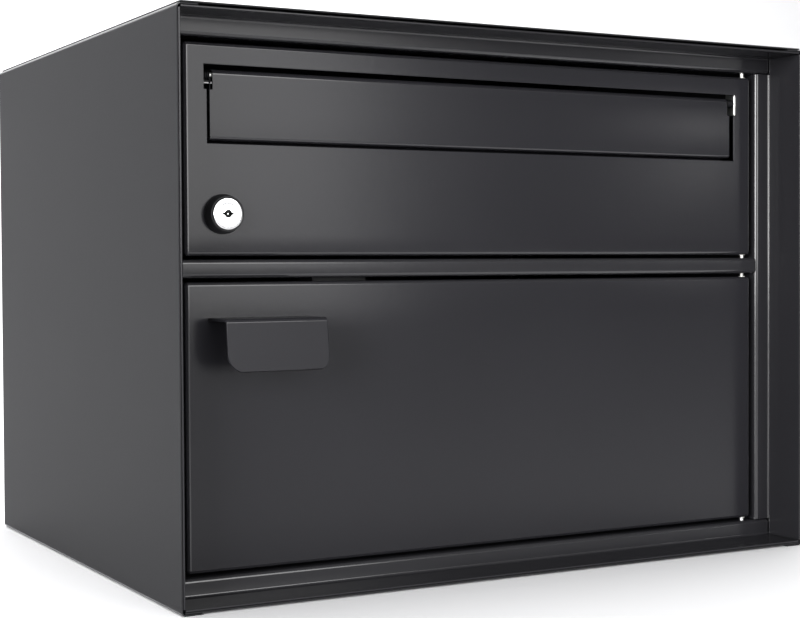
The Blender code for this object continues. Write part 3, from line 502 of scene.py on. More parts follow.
def folded_sheet(name, line, along, slot, body, sheet, insets=(0.0, 0.0), marks=(), keep=None,
                 edge=None):
    """A bent sheet: the line of its middle carried straight along one axis through the node's box.

    Insets are how far it stays from the box at its start and its end, as numbers or as arrays with
    one for each point of the line.  Marks are more places for grid lines along the run, and keep
    says from the two middles of each cell, on the line and along the run, if the sheet is there.
    """
    low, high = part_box(name)
    start, end = low[along] + insets[0], high[along] - insets[1]
    run = grid_lines(np.min(start), np.max(end), *marks)
    share = (run - run[0]) / (run[-1] - run[0])
    start = np.broadcast_to(start, len(line))[:, None]
    end = np.broadcast_to(end, len(line))[:, None]
    others = [axis for axis in (X, Y, Z) if axis != along]
    points = np.zeros((len(line), len(run), 3))
    points[..., along] = start + (end - start) * share
    points[..., others[0]] = line[:, None, 0]
    points[..., others[1]] = line[:, None, 1]
    kept = None
    if keep:
        kept = keep(centres(line)[:, None, :], centres(run)[None, :])
    patch = (points, quads(len(line), len(run), kept))
    return make_piece(name, [patch], slot, body, name, sheet=sheet, edge=edge or sizes().edge)


def rim_of(xs, zs):
    """The edge of a grid as a closed path, with the direction out of it at each point.

    A corner is there once for each step of the quarter turn between its two sides' directions.
    """
    turn = np.linspace(0, math.pi / 2, CORNER_STEPS + 1)
    places = []
    outward = []
    sides = (
        (xs, np.full(len(xs), zs[0]), -math.pi / 2),
        (np.full(len(zs), xs[-1]), zs, 0.0),
        (xs[::-1], np.full(len(xs), zs[-1]), math.pi / 2),
        (np.full(len(zs), xs[0]), zs[::-1], math.pi),
    )
    for side_x, side_z, facing in sides:
        places.append(np.stack([side_x, side_z], axis=-1))
        outward.append(np.full(len(side_x), facing))
        corner = np.array([side_x[-1], side_z[-1]])
        places.append(np.tile(corner, (len(turn) - 2, 1)))
        outward.append(facing + turn[1:-1])
    angle = np.concatenate(outward)
    return np.concatenate(places), np.stack([np.cos(angle), np.sin(angle)], axis=-1)


def tray_sheet(name, open_side, bend, sheet, slot, body, x_marks=(), z_marks=(), holes=(),
               absent=None):
    """A tray: a flat face, and a rim whose quarter-round and straight side go right round it.

    The rim is the profile (bend * sin a, bend * (1 - cos a)) and then a straight line, carried
    round the face's edge.  Each hole (x, z, radius) is a square of the face drawn in to a circle.
    """
    low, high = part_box(name)
    middle = sheet / 2
    reach = bend - middle
    left, right = low[X] + middle + reach, high[X] - middle - reach
    bottom, top = low[Z] + middle + reach, high[Z] - middle - reach
    face = low[Y] + middle if open_side > 0 else high[Y] - middle
    depth = high[Y] - low[Y] - middle
    squares = [(x, z, radius, radius * HOLE_SQUARE) for x, z, radius in holes]
    for x, z, radius, half in squares:
        x_marks = [*x_marks, *np.linspace(x - half, x + half, HOLE_LINES)]
        z_marks = [*z_marks, *np.linspace(z - half, z + half, HOLE_LINES)]
    xs = np.unique(np.round(grid_lines(left, right, *x_marks), 7))
    zs = np.unique(np.round(grid_lines(bottom, top, *z_marks), 7))
    flat = np.zeros((len(xs), len(zs), 3))
    flat[..., X] = xs[:, None]
    flat[..., Y] = face
    flat[..., Z] = zs
    cell_x, cell_z = centres(xs)[:, None], centres(zs)[None, :]
    keep = np.ones((len(xs) - 1, len(zs) - 1), bool)
    if absent:
        keep &= ~absent(cell_x, cell_z)
    patches = []
    for x, z, radius, half in squares:
        keep &= ~((abs(cell_x - x) < half) & (abs(cell_z - z) < half))
        inside_x = xs[(xs > x - half - MERGE) & (xs < x + half + MERGE)]
        inside_z = zs[(zs > z - half - MERGE) & (zs < z + half + MERGE)]
        square, _ = rim_of(inside_x, inside_z)
        spoke = square - (x, z)
        circle = (x, z) + spoke / np.linalg.norm(spoke, axis=1)[:, None] * radius
        share = np.linspace(0, 1, HOLE_RINGS)[:, None, None]
        drawn = square * (1 - share) + circle * share
        ring = np.stack([drawn[..., 0], np.full(drawn.shape[:2], face), drawn[..., 1]], axis=-1)
        patches.append((ring, quads(HOLE_RINGS, len(square), round_columns=True)))
    patches.insert(0, (flat, quads(len(xs), len(zs), keep)))
    path, outward = rim_of(xs, zs)
    angle = np.linspace(0, math.pi / 2, BEND_STEPS + 1)
    out = np.append(reach * np.sin(angle), reach)
    back = np.append(reach * (1 - np.cos(angle)), depth)
    rim = np.zeros((len(out), len(path), 3))
    rim[..., X] = path[:, 0] + out[:, None] * outward[:, 0]
    rim[..., Z] = path[:, 1] + out[:, None] * outward[:, 1]
    rim[..., Y] = face + open_side * back[:, None]
    patches.append((rim, quads(len(out), len(path), round_columns=True)))
    return make_piece(name, patches, slot, body, name, sheet=sheet, edge=sizes().edge)


def across(axis):
    """Two unit vectors square to an axis and to each other."""
    helper = np.array([0.0, 0.0, 1.0]) if abs(axis[2]) < 0.5 else np.array([1.0, 0.0, 0.0])
    first = np.cross(helper, axis)
    first /= np.linalg.norm(first)
    return first, np.cross(axis, first)


def round_patch(radii, heights, base, axis, closed=False):
    """A surface round an axis: a row is a height, and a radius that may change with the angle."""
    axis = np.asarray(axis, float)
    first, second = across(axis)
    steps = radii.shape[1]
    angle = np.linspace(0, 2 * math.pi, steps, endpoint=False)
    ring = np.cos(angle)[:, None] * first + np.sin(angle)[:, None] * second
    points = np.asarray(base, float) + heights[:, None, None] * axis + radii[..., None] * ring
    return points, quads(len(heights), steps, round_rows=closed, round_columns=True)


def turned(name, profile, axis, slot, body, rounding, closed=False, proud=0.0):
    """A turned piece: each (radius, height) of its profile swung right round the axis.

    The axis starts at the end of the node's box, or stands proud of it.  Rounding is the radius of
    the profile's corners, and a closed profile joins its own start.
    """
    fold = fold_loop if closed else fold_line
    profile = fold(profile, rounding, PROFILE_STEPS)
    radii = np.repeat(profile[:, :1], RING_STEPS, axis=1)
    base = foot_of(name, axis) - proud * np.asarray(axis, float)
    patch = round_patch(radii, profile[:, 1], base, axis, closed)
    return make_piece(name, [patch], slot, body, name)


def ring_section(outline, centre, hole, front, back, edge, trim=None):
    """A plate with a round hole: a closed section carried round the outline.

    The section goes from the hole out over the front face, round the outline's edge and back under
    the rear face.  At the faces the outline is drawn in by the edge, and no further out than trim.
    """
    spoke = outline - centre
    reach = np.linalg.norm(spoke, axis=1)
    unit = spoke / reach[:, None]
    face = np.minimum(reach - edge, trim) if trim else reach - edge
    side = np.sign(back - front)
    shoulder = np.maximum(reach - face, edge) * CHAMFER_SLOPE if trim else np.full(len(reach), edge)
    depths = [front, front, front + side * shoulder, back - side * shoulder, back, back]
    radii = [hole, face, reach, reach, face, hole]
    places = []
    for radius, depth in zip(radii, depths):
        flat = centre + unit * np.broadcast_to(radius, len(reach))[:, None]
        level = np.broadcast_to(depth, len(reach))
        places.append(np.stack([flat[:, 0], level, flat[:, 1]], axis=-1))
    points = np.stack(places)
    return points, quads(len(places), len(outline), round_rows=True, round_columns=True)


def wire(name, path, radius, reference, slot, body, sides=14):
    """A round wire: a circle carried along the path, drawn in to a point at each end.

    The circle's two directions are square to the path and follow a fixed reference direction.
    """
    tangent = np.gradient(path, axis=0)
    tangent /= np.linalg.norm(tangent, axis=1)[:, None]
    first = np.cross(tangent, reference)
    first /= np.linalg.norm(first, axis=1)[:, None]
    second = np.cross(tangent, first)
    angle = np.linspace(0, 2 * math.pi, sides, endpoint=False)
    across_path, over_path = np.cos(angle)[None, :, None], np.sin(angle)[None, :, None]
    ring = across_path * first[:, None] + over_path * second[:, None]
    tube = path[:, None] + radius * ring
    start = np.broadcast_to(path[0], (1, sides, 3))
    end = np.broadcast_to(path[-1], (1, sides, 3))
    points = np.concatenate([start, tube, end])
    patch = (points, quads(len(points), sides, round_columns=True))
    return make_piece(name, [patch], slot, body, name)


def rounded_block(name, radius, slot, body):
    """A block with rounded edges that fills its node's box.

    For each direction on a sphere the point is a corner of the inner block plus radius times the
    direction.  Directions square to an axis are there twice, once for each side of the block.
    """
    low, high = np.asarray(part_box(name), float)
    quarter = np.linspace(TINY, math.pi / 2 - TINY, PROFILE_STEPS + 1)
    turn = np.concatenate([quarter + k * math.pi / 2 for k in range(4)])
    rise = np.concatenate([[-math.pi / 2], -quarter[::-1], quarter, [math.pi / 2]])
    ray = np.stack([
        np.cos(rise)[:, None] * np.cos(turn),
        np.cos(rise)[:, None] * np.sin(turn),
        np.broadcast_to(np.sin(rise)[:, None], (len(rise), len(turn))),
    ], axis=-1)
    corner = np.sign(ray)
    corner[0, :, :2] = corner[1, :, :2]
    corner[-1, :, :2] = corner[-2, :, :2]
    points = (low + high) / 2 + corner * ((high - low) / 2 - radius) + ray * radius
    cells = quads(len(rise), len(turn), round_columns=True)
    cap = np.arange(0, len(turn), len(quarter))
    caps = [cap, cap + (len(rise) - 1) * len(turn)]
    return make_piece(name, [(points, np.concatenate([cells, caps]))], slot, body, name)


# ---------------------------------------------------------------- frame facts

def middle_of(node):
    """The middle of a CAD node's box."""
    low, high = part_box(node)
    return (low + high) / 2


def size_of(node):
    """The three sizes of a CAD node's box."""
    low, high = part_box(node)
    return high - low


def foot_of(node, axis):
    """The middle of that end of a CAD node's box where an axis starts, along X, Y or Z."""
    places = zip(*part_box(node), middle_of(node), axis)
    return np.array([(low if way > 0 else high) if way else middle
                     for low, high, middle, way in places])


def finish_nodes(slot, *nodes):
    """Give CAD nodes whose shape is right one of the finishes."""
    for node in nodes:
        data = frame["nodes"][node].data
        data.materials.clear()
        data.materials.append(finish_of(slot))


# ---------------------------------------------------------------- pieces of the housing

class PARCELBOX_OT_side_panels(Operator):
    """Build the two C-shaped side panels, wall and wrapped flanges"""

    bl_idname = "parcelbox.side_panels"
    bl_label = "Side Panels"

    def execute(self, context):
        size = sizes()
        middle = size.shell_sheet / 2
        for name, is_left in (("left_side_panel", True), ("right_side_panel", False)):
            low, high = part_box(name)
            wall, tip = (low.x + middle, high.x) if is_left else (high.x - middle, low.x)
            bottom, top = low.z + middle, high.z - middle
            line = fold_line([(tip, bottom), (wall, bottom), (wall, top), (tip, top)],
                             size.shell_bend)
            folded_sheet(name, line, Y, "shell_coat", "housing", size.shell_sheet)
        return {"FINISHED"}


class PARCELBOX_OT_flat_panels(Operator):
    """Build the flat top and bottom panels that lie over the side panels' flanges"""

    bl_idname = "parcelbox.flat_panels"
    bl_label = "Top and Bottom Panels"

    def execute(self, context):
        for name in ("top_panel", "bottom_panel"):
            low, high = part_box(name)
            places = grid_lines(low.x, high.x)
            line = np.stack([places, np.full(len(places), (low.z + high.z) / 2)], axis=-1)
            folded_sheet(name, line, Y, "shell_coat", "housing", sizes().shell_sheet)
        return {"FINISHED"}


class PARCELBOX_OT_rear_panel(Operator):
    """Build the rear tray with its four fixing holes, and the plug in each hole"""

    bl_idname = "parcelbox.rear_panel"
    bl_label = "Rear Panel and Plugs"

    def execute(self, context):
        size = sizes()
        holes = []
        for name in sorted(name for name in frame["nodes"] if name.startswith("fixing_plug_")):
            centre = middle_of(name)
            holes.append((centre.x, centre.z, size.fixing_hole))
            self.plug(name, size.fixing_hole - FIT_GAP)
        tray_sheet("rear_panel", -1, size.rear_bend, size.shell_sheet, "shell_coat", "housing",
                   holes=holes)
        return {"FINISHED"}

    def plug(self, name, stem):
        """A cap inside the panel and a stem that fills the hole, dished on the outside."""
        cap, tall = size_of(name).x / 2, size_of(name).y
        slope, shoulder, dish = 0.6 * MM, 1.5 * MM, 0.4 * MM
        profile = [(0, 0), (cap - slope, 0), (cap, shoulder), (stem, shoulder), (stem, tall),
                   (stem * 0.7, tall), (stem * 0.6, tall - dish), (0, tall - dish)]
        turned(name, profile, TO_BACK, "black_plastic", "housing", 0.15 * MM)


class PARCELBOX_OT_front_frame(Operator):
    """Build the frame round the doors: two stiles, the top and bottom rails and the mid rail"""

    bl_idname = "parcelbox.front_frame"
    bl_label = "Front Frame"

    def execute(self, context):
        size = sizes()
        middle = size.frame_sheet / 2
        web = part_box("mid_rail")[0].y + middle
        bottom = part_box("frame_bottom_rail")[1].z + FIT_GAP
        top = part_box("frame_top_rail")[0].z - FIT_GAP
        slack = 0.3 * MM
        for name, side in (("frame_left_stile", -1), ("frame_right_stile", 1)):
            low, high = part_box(name)
            outer = max(abs(low.x), abs(high.x)) - middle
            inner = min(abs(low.x), abs(high.x)) + middle
            line = fold_line([(side * outer, low.y), (side * outer, web), (side * inner, web),
                              (side * inner, high.y)], size.frame_bend)

            def there(place, level, outer=outer):
                return (abs(place[..., 0]) > outer - slack) | ((level > bottom) & (level < top))

            folded_sheet(name, line, Z, "frame_coat", "housing", size.frame_sheet,
                         marks=(bottom, top), keep=there)
        for name in ("frame_top_rail", "frame_bottom_rail", "mid_rail"):
            low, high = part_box(name)
            first, last = high.z - middle, low.z + middle
            if name == "frame_bottom_rail":
                first, last = last, first
            tip = high.y if name == "mid_rail" else low.y
            line = fold_line([(tip, first), (web, first), (web, last), (high.y, last)],
                             size.frame_bend)
            folded_sheet(name, line, X, "frame_coat", "housing", size.frame_sheet)
        return {"FINISHED"}


class PARCELBOX_OT_shelf(Operator):
    """Build the shelf between the compartments, its sides folded down"""

    bl_idname = "parcelbox.shelf"
    bl_label = "Divider Shelf"

    def execute(self, context):
        size = sizes()
        low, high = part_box("divider_shelf")
        wall, level = high.x - size.shell_sheet / 2, high.z - size.shell_sheet / 2
        line = fold_line([(-wall, low.z), (-wall, level), (wall, level), (wall, low.z)],
                         size.shelf_bend)
        folded_sheet("divider_shelf", line, Y, "frame_coat", "housing", size.shell_sheet)
        return {"FINISHED"}


class PARCELBOX_OT_hinges(Operator):
    """Build the four headed pins of the doors and the nylon bush round each"""

    bl_idname = "parcelbox.hinges"
    bl_label = "Hinge Pins and Bushes"

    def execute(self, context):
        for door in ("letter_door", "parcel_door"):
            for end, towards in (("top", -1), ("bottom", 1)):
                self.pin(f"{door}_{end}_pin", (0, 0, towards))
                self.bush(f"{door}_{end}_bush", (0, 0, towards), door)
        return {"FINISHED"}

    def pin(self, name, axis):
        """A round head and a shank with a chamfered tip."""
        head, tall = size_of(name).x / 2, size_of(name).z
        shank, tip, thick = 1.25 * MM, 0.45 * MM, 1.2 * MM
        profile = [(0, 0), (head, 0), (head, thick), (shank, thick), (shank, tall - tip),
                   (shank - tip, tall), (0, tall)]
        turned(name, profile, axis, "zinc_steel", "housing", 0.12 * MM)

    def bush(self, name, axis, body):
        """A sleeve through the door's fold, with a collar inside the door."""
        collar, sleeve, bore = size_of(name).x / 2, 2.0 * MM, 1.4 * MM
        proud = 0.12 * MM
        tall = size_of(name).z + proud
        seat = sizes().frame_sheet + FIT_GAP + proud
        rear = seat + 0.8 * MM
        profile = [(bore, 0), (sleeve, 0), (sleeve, seat), (collar, seat), (collar, rear),
                   (sleeve, rear), (sleeve, tall), (bore, tall)]
        turned(name, profile, axis, "nylon", body, 0.08 * MM, closed=True, proud=proud)


class PARCELBOX_OT_door_stops(Operator):
    """Build the plates that the doors and the cam meet behind the left stile, with two bumpers"""

    bl_idname = "parcelbox.door_stops"
    bl_label = "Door Stops"

    def execute(self, context):
        for name in ("lock_strike", "letter_door_stop", "parcel_door_stop"):
            low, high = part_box(name)
            level = (low.y + high.y) / 2
            line = np.array([(low.x, level), (high.x, level)])
            folded_sheet(name, line, Z, "frame_coat", "housing", sizes().bracket_sheet)
        for name in ("letter_door_bumper", "parcel_door_bumper"):
            radius, tall = size_of(name).x / 2, size_of(name).y
            profile = [(0, 0), (radius * 0.85, 0), (radius, tall), (0, tall)]
            turned(name, profile, TO_BACK, "rubber", "housing", 0.3 * MM)
        return {"FINISHED"}


class PARCELBOX_OT_magnet_catch(Operator):
    """Build the magnet and the plate that it holds, and finish the magnet's holder"""

    bl_idname = "parcelbox.magnet_catch"
    bl_label = "Magnet Catch"

    def execute(self, context):
        size = sizes()
        middle = size.bracket_sheet / 2
        rounded_block("catch_magnet", 0.5 * MM, "magnet", "housing")
        low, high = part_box("catch_plate")
        level, rear = high.z - middle, high.y - middle
        line = fold_line([(low.y, level), (rear, level), (rear, low.z)], size.bracket_sheet)
        folded_sheet("catch_plate", line, X, "zinc_steel", "parcel_door", size.bracket_sheet)
        finish_nodes("black_plastic", "magnet_holder")
        return {"FINISHED"}


# ---------------------------------------------------------------- pieces of the letter door

def slot_edges():
    """The letter slot's left, right, bottom and top, and the height where it widens."""
    size = sizes()
    low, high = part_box("letter_door_panel")
    left, right = low.x + size.slot_left, high.x - size.slot_right
    top = high.z - size.slot_top
    return left, right, top - size.slot_height, top, top - size.notch_height


class PARCELBOX_OT_letter_door(Operator):
    """Build the letter door: a tray with the slot and the lock's hole through its face"""

    bl_idname = "parcelbox.letter_door"
    bl_label = "Letter Door"

    def execute(self, context):
        size = sizes()
        left, right, bottom, top, widens = slot_edges()
        wider = size.notch_side
        pad = 0.8 * MM

        def in_slot(x, z):
            plain = (x > left) & (x < right) & (z > bottom) & (z < top)
            wide = (x > left - wider) & (x < right + wider) & (z > widens) & (z < top)
            return plain | wide

        lock = middle_of("lock_collar")
        x_marks = (left - wider - pad, left - wider, left, right, right + wider,
                   right + wider + pad)
        z_marks = (bottom - pad, bottom, widens - pad, widens, top, top + pad)
        tray_sheet("letter_door_panel", 1, size.door_bend, size.frame_sheet, "door_coat",
                   "letter_door", x_marks, z_marks, [(lock.x, lock.z, size.lock_hole)], in_slot)
        return {"FINISHED"}


class PARCELBOX_OT_slot_flap(Operator):
    """Build the flap of the letter slot, with its rolled upper edge and its lip"""

    bl_idname = "parcelbox.slot_flap"
    bl_label = "Slot Flap"

    def execute(self, context):
        size = sizes()
        low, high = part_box("slot_flap")
        axis = AXES["slot_flap_hinge"]
        plate = low.y + size.frame_sheet / 2
        foot, lip = low.z + size.flap_lip, plate + size.flap_foot
        flat = fold_line([(lip, low.z), (lip, foot), (plate, foot), (plate, axis[Z])], 1.5 * MM)
        curl_steps = 40
        angle = np.radians(np.linspace(180, -70, curl_steps + 1)[1:])
        ring = np.stack([np.cos(angle), np.sin(angle)], axis=-1)
        curl = ring * (axis[Y] - plate) + (axis[Y], axis[Z])
        widens = slot_edges()[4]
        inset = size.notch_side

        def there(place, x):
            return (place[..., 1] < widens) | ((x > low.x + inset) & (x < high.x - inset))

        upper = np.array([(plate, widens)])
        line = np.concatenate([flat[:-1], upper, flat[-1:], curl])
        folded_sheet("slot_flap", line, X, "door_coat", "slot_flap_unit", size.frame_sheet,
                     marks=(low.x + inset, high.x - inset), keep=there)
        return {"FINISHED"}


class PARCELBOX_OT_flap_fittings(Operator):
    """Build the flap's rod, springs and rubber stops, and finish the rod's two brackets"""

    bl_idname = "parcelbox.flap_fittings"
    bl_label = "Flap Fittings"

    def execute(self, context):
        radius, chamfer, run = size_of("flap_rod").z / 2, 0.3 * MM, size_of("flap_rod").x
        profile = [(0, 0), (radius - chamfer, 0), (radius, chamfer), (radius, run - chamfer),
                   (radius - chamfer, run), (0, run)]
        turned("flap_rod", profile, (1, 0, 0), "zinc_steel", "letter_door", 0.08 * MM)
        self.spring("flap_spring_left", True)
        self.spring("flap_spring_right", False)
        for name in ("flap_stop_left", "flap_stop_right"):
            rounded_block(name, 0.6 * MM, "rubber", "letter_door")
        finish_nodes("zinc_steel", "flap_ear_left", "flap_ear_right")
        return {"FINISHED"}

    def spring(self, name, from_left):
        """A helix round the flap's axis, then a straight leg down the flap's back."""
        low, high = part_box(name)
        axis = AXES["slot_flap_hinge"]
        thick, turns, turn_steps, leg_steps = 0.45 * MM, 4, 40, 11
        radius = high.z - thick - axis[Z]
        first, last = low.x + thick, high.x - thick
        if not from_left:
            first, last = last, first
        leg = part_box("slot_flap")[0].y + sizes().frame_sheet + FIT_GAP + thick
        rest = math.acos((leg - axis[Y]) / radius)
        share = np.linspace(0, 1, turns * turn_steps + 1)
        angle = 2 * math.pi * turns * (1 - share) - rest
        helix = np.stack([first + (last - first) * share, axis[Y] + radius * np.cos(angle),
                          axis[Z] + radius * np.sin(angle)], axis=-1)
        down = np.linspace(0, 1, leg_steps + 1)[1:, None] * (0, 0, low.z - helix[-1, Z])
        wire(name, np.concatenate([helix, helix[-1] + down]), thick, (1, 0, 0), "spring_steel",
             "slot_flap_unit")


class PARCELBOX_OT_lock(Operator):
    """Build the cam lock: collar, chrome face and barrel, plug with its keyhole, cam and nuts"""

    bl_idname = "parcelbox.lock"
    bl_label = "Cam Lock"

    def execute(self, context):
        self.collar()
        self.barrel()
        self.plug()
        size = sizes()
        self.nut("lock_nut", size.lock_hole, "letter_door")
        self.cam()
        self.nut("cam_nut", size.spigot + FIT_GAP, "lock_cylinder")
        return {"FINISHED"}

    def collar(self):
        """A black ring that tapers from its base to its rim."""
        outer, tall = size_of("lock_collar").x / 2, size_of("lock_collar").y
        well = size_of("lock_housing").x / 2 + FIT_GAP
        bore = sizes().lock_hole
        rim, step, floor = outer - 1.15 * MM, 1.6 * MM, tall - 1.35 * MM
        profile = [(well, tall), (rim, tall), (outer, step), (outer, 0), (bore, 0), (bore, floor),
                   (well, floor)]
        radii = (0.12 * MM, 0.35 * MM, 0.8 * MM, 0.2 * MM, 0.1 * MM, 0.1 * MM, 0.1 * MM)
        turned("lock_collar", profile, TO_FRONT, "black_plastic", "letter_door", radii, closed=True)

    def barrel(self):
        """The chrome face ring in front, and the round barrel behind it."""
        outer, tall = size_of("lock_housing").x / 2, size_of("lock_housing").y
        inner, barrel = 4.94 * MM, sizes().lock_hole - FIT_GAP
        face = tall - 1.8 * MM
        profile = [(inner, tall), (outer, tall), (outer, face), (barrel, face), (barrel, 0),
                   (inner, 0)]
        radii = (0.03 * MM, 0.5 * MM, 0.1 * MM, 0.1 * MM, 0.3 * MM, 0.03 * MM)
        turned("lock_housing", profile, TO_FRONT, "chrome", "letter_door", radii, closed=True)

    def plug(self):
        """The turning plug: rows from its tail over its front edge and down into the keyhole.

        The keyhole's radius at each angle is the greater of a circle's and a slit's, and the
        slit's is the nearer of its end and its side along that angle.  A small pin stands in the
        middle, and a mesh attribute is 1 on the keyhole's sides and floor, where the chrome is
        painted dark and dull as painted shade.
        """
        steps = 360
        angle = np.linspace(0, 2 * math.pi, steps, endpoint=False)
        far, near = sizes().keyway / 2, 0.55 * MM
        slit = np.minimum(far / np.maximum(abs(np.cos(angle)), TINY),
                          near / np.maximum(abs(np.sin(angle)), TINY))
        eye = np.maximum(slit, 2.05 * MM)
        outer, tall = size_of("lock_plug").x / 2, size_of("lock_plug").y
        spigot, edge = sizes().spigot, 0.08 * MM
        foot = foot_of("lock_plug", TO_FRONT)
        back = foot[Y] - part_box("lock_housing")[1].y
        mouth, ledge, floor = tall - edge, tall - 1.2 * MM, tall - 4.0 * MM
        pin, pin_top, pin_edge = 0.5 * MM, tall - 0.5 * MM, 0.2 * MM
        rows = [(0, 0), (spigot - edge, 0), (spigot, edge), (spigot, back), (outer, back),
                (outer, tall - edge), (outer - edge, tall), (outer - 2 * edge, tall),
                (eye + 2 * edge, tall), (eye + edge, tall), (eye, mouth), (eye, ledge),
                (slit, ledge), (slit, floor), (pin, floor), (pin, pin_top - pin_edge),
                (pin * 0.6, pin_top), (0, pin_top)]
        radii = np.stack([np.broadcast_to(radius, steps) for radius, _ in rows])
        heights = np.array([height for _, height in rows])
        patch = round_patch(radii, heights, foot, TO_FRONT)
        plug = make_piece("lock_plug", [patch], "chrome", "lock_cylinder", "lock_plug")
        # Painted shade: the keyhole's sides and floor are marked for the chrome to be painted dark and dull
        recess = plug.data.attributes.new("recess", "FLOAT", "POINT")
        points = np.zeros(len(plug.data.vertices) * 3)
        plug.data.vertices.foreach_get("co", points)
        across_x, along_y, across_z = (points.reshape(-1, 3) - (foot[X], foot[Y] - tall, foot[Z])).T
        away = np.hypot(across_x, across_z)
        inside = (away > pin * 0.9) & (away < far * 1.1) & (along_y > edge / 2) & (along_y < floor)
        recess.data.foreach_set("value", inside.astype(float))

    def nut(self, name, hole, body):
        """A hexagon, its corners cut back at both faces by the chamfer."""
        low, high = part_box(name)
        centre = middle_of(name)
        wide, tall = size_of(name).x / 2, size_of(name).z / 2
        corner = max(wide, tall)
        turn = 0.0 if wide > tall else math.pi / 6
        steps, sixth = 72, math.pi / 3
        angle = np.radians(np.linspace(0, 360, steps, endpoint=False))
        flat = corner * math.cos(math.pi / 6)
        reach = flat / np.cos((angle - turn) % sixth - sixth / 2)
        middle = np.array([centre.x, centre.z])
        outline = middle + reach[:, None] * np.stack([np.cos(angle), np.sin(angle)], axis=-1)
        patch = ring_section(outline, middle, hole, low.y, high.y, 0.1 * MM, flat * 0.98)
        make_piece(name, [patch], "zinc_steel", body, name)

    def cam(self):
        """A flat bar with rounded ends on the plug's tail."""
        low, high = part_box("lock_cam")
        axis = AXES["lock_turn"]
        corners = [(low.x, low.z), (high.x, low.z), (high.x, high.z), (low.x, high.z)]
        outline = fold_loop(corners, (4.5 * MM, 4.5 * MM, 3.0 * MM, 3.0 * MM), 12)
        patch = ring_section(outline, np.array([axis[X], axis[Z]]), sizes().spigot + FIT_GAP,
                             low.y, high.y, 0.25 * MM)
        make_piece("lock_cam", [patch], "zinc_steel", "lock_cylinder", "lock_cam")


# ---------------------------------------------------------------- pieces of the parcel door

class PARCELBOX_OT_parcel_door(Operator):
    """Build the parcel door, a plain tray"""

    bl_idname = "parcelbox.parcel_door"
    bl_label = "Parcel Door"

    def execute(self, context):
        size = sizes()
        tray_sheet("parcel_door_panel", 1, size.door_bend, size.frame_sheet, "door_coat",
                   "parcel_door")
        return {"FINISHED"}


class PARCELBOX_OT_door_handle(Operator):
    """Build the pull: a sheet out through the door, bent down, its lower corners rounded"""

    bl_idname = "parcelbox.door_handle"
    bl_label = "Door Handle"

    def execute(self, context):
        size = sizes()
        middle = size.handle_sheet / 2
        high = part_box("door_handle")[1]
        tab = high.y - middle
        level = high.z - size.handle_tab
        lean, corner_steps, edge = math.radians(6), 16, 0.42 * MM
        drop = size.handle_plate - middle
        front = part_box("parcel_door_panel")[0].y - size.handle_reach - middle
        end = (front - drop * math.sin(lean), level - drop * math.cos(lean))
        line = fold_line([(tab, high.z), (tab, level), (front, level), end], size.handle_bend)
        radii = (size.corner_left, size.corner_right)
        angle = np.linspace(0, math.pi / 2, corner_steps + 1)[1:]
        to_end = max(radii) * (1 - np.sin(angle))
        along = np.array([-math.sin(lean), -math.cos(lean)])
        line = np.concatenate([line[:-1], line[-1] - to_end[:, None] * along])
        step = np.linalg.norm(np.diff(line, axis=0), axis=1)
        left_to_go = np.append(np.cumsum(step[::-1])[::-1], 0.0)
        insets = [radius - np.sqrt(radius**2 - np.clip(radius - left_to_go, 0, radius) ** 2)
                  for radius in radii]
        handle = folded_sheet("door_handle", line, X, "door_coat", "parcel_door",
                              size.handle_sheet, insets, edge=edge)
        coat = powder_coat("handle_finish", tuple(colours().door_coat), 0.30, 1.20)
        handle.data.materials[0] = coat
        return {"FINISHED"}


# ---------------------------------------------------------------- stage

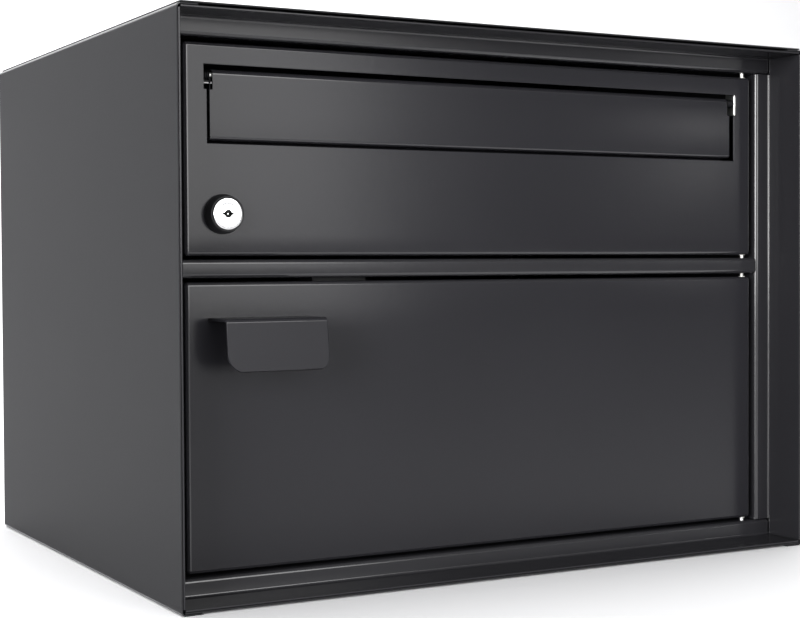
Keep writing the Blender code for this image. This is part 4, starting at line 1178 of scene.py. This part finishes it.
class PARCELBOX_OT_stage(Operator):
    """Build the pale floor that sweeps up behind, the soft lights and the camera"""

    bl_idname = "parcelbox.stage"
    bl_label = "Stage"

    def execute(self, context):
        self.sweep()
        self.world(context)
        for softbox in SOFTBOXES:
            self.softbox(*softbox)
        self.camera(context)
        return {"FINISHED"}

    def sweep(self):
        """A flat floor, a quarter round and an upright wall, carried straight across.

        The floor is pale round the box, and painted darker well in front of it as painted shade.
        """
        corners = [(FLOOR_FRONT, 0.0), (WALL_PLACE, 0.0), (WALL_PLACE, WALL_TOP)]
        bend_steps, width_steps = 24, 14
        profile = fold_line(corners, SWEEP_BEND, bend_steps)
        across_x = np.linspace(-SWEEP_SIDE, SWEEP_SIDE, width_steps + 1)
        points = np.zeros((len(profile), len(across_x), 3))
        points[..., X] = across_x
        points[..., Y] = profile[:, None, 0]
        points[..., Z] = profile[:, None, 1]
        mesh = bpy.data.meshes.new("stage_sweep")
        faces = quads(len(profile), len(across_x))[:, ::-1]
        mesh.from_pydata(points.reshape(-1, 3).tolist(), [], faces.tolist())
        mesh.shade_smooth()
        shader = Shader("stage_paper")
        grain = shader.noise(600.0, 2.0)
        floor = colours().floor
        paper = shader.blend(grain, shade(floor, 0.99), shade(floor, 1.01))
        depth = shader.add("SeparateXYZ", {}, {"Vector": shader.place()}, "Y")
        near = shader.add("MapRange", {}, {"Value": depth, "From Min": FLOOR_DARK_BEFORE,
                                           "From Max": FLOOR_PALE_FROM}, "Result")
        # Painted shade: the floor's colour falls to half well in front of the box
        coat = shader.blend(near, shade(floor, 0.5), paper)
        mesh.materials.append(shader.finish(Base_Color=coat, Roughness=0.85))
        sweep = bpy.data.objects.new("stage_sweep", mesh)
        bpy.context.scene.collection.objects.link(sweep)

    def world(self, context):
        """An even pale surround."""
        world = bpy.data.worlds.new("studio")
        world.use_nodes = True
        background = world.node_tree.nodes["Background"]
        background.inputs["Color"].default_value = (1.0, 1.0, 1.0, 1.0)
        background.inputs["Strength"].default_value = SURROUND
        context.scene.world = world
        context.scene.view_settings.view_transform = "Standard"

    def softbox(self, name, place, aim, wide, tall, brightness):
        """A soft light of a given size, facing a point; its brightness is its radiance."""
        light = bpy.data.lights.new(name, "AREA")
        light.shape = "RECTANGLE"
        light.size, light.size_y = wide, tall
        light.energy = brightness * math.pi * wide * tall
        lamp = bpy.data.objects.new(name, light)
        lamp.location = place
        lamp.rotation_euler = (Vector(aim) - Vector(place)).to_track_quat("-Z", "Y").to_euler()
        bpy.context.scene.collection.objects.link(lamp)

    def camera(self, context):
        """The view from the front, left of centre, a little above the middle of the box."""
        data = bpy.data.cameras.new("view")
        data.lens = FOCAL_LENGTH
        data.sensor_width = SENSOR_WIDTH
        data.clip_start, data.clip_end = 0.05, 30.0
        camera = bpy.data.objects.new("view", data)
        forward = Vector(VIEW_FORWARD).normalized()
        right = Vector(VIEW_RIGHT)
        right = (right - right.dot(forward) * forward).normalized()
        up = right.cross(forward)
        turn = Matrix((right, up, -forward)).transposed().to_4x4()
        camera.matrix_world = Matrix.Translation(VIEW_PLACE) @ turn
        context.scene.collection.objects.link(camera)
        context.scene.camera = camera


# ---------------------------------------------------------------- add-on

PIECES = (
    PARCELBOX_OT_side_panels,
    PARCELBOX_OT_flat_panels,
    PARCELBOX_OT_rear_panel,
    PARCELBOX_OT_front_frame,
    PARCELBOX_OT_shelf,
    PARCELBOX_OT_hinges,
    PARCELBOX_OT_door_stops,
    PARCELBOX_OT_magnet_catch,
    PARCELBOX_OT_letter_door,
    PARCELBOX_OT_slot_flap,
    PARCELBOX_OT_flap_fittings,
    PARCELBOX_OT_lock,
    PARCELBOX_OT_parcel_door,
    PARCELBOX_OT_door_handle,
    PARCELBOX_OT_stage,
)


class PARCELBOX_PT_panel(Panel):
    """The sizes, the colours and a button for each group of pieces"""

    bl_idname = "PARCELBOX_PT_panel"
    bl_label = "Parcel Box"
    bl_space_type = "VIEW_3D"
    bl_region_type = "UI"
    bl_category = "Parcel Box"

    def draw(self, context):
        for title, group in (("Sizes", sizes()), ("Colours", colours())):
            self.layout.label(text=title)
            column = self.layout.column(align=True)
            for key in group.__annotations__:
                column.prop(group, key)
        self.layout.label(text="Pieces")
        for piece in PIECES:
            self.layout.operator(piece.bl_idname)


CLASSES = (ParcelBoxSizes, ParcelBoxColours, *PIECES, PARCELBOX_PT_panel)


def register():
    """Add the add-on's classes and its two groups of properties."""
    for item in CLASSES:
        bpy.utils.register_class(item)
    bpy.types.Scene.parcel_box_sizes = PointerProperty(type=ParcelBoxSizes)
    bpy.types.Scene.parcel_box_colours = PointerProperty(type=ParcelBoxColours)


def unregister():
    """Take them away again."""
    del bpy.types.Scene.parcel_box_colours
    del bpy.types.Scene.parcel_box_sizes
    for item in reversed(CLASSES):
        bpy.utils.unregister_class(item)


def main():
    """Build every piece and the stage."""
    register()
    for piece in PIECES:
        group, name = piece.bl_idname.split(".")
        getattr(getattr(bpy.ops, group), name)()


if __name__ == "__main__":
    main()
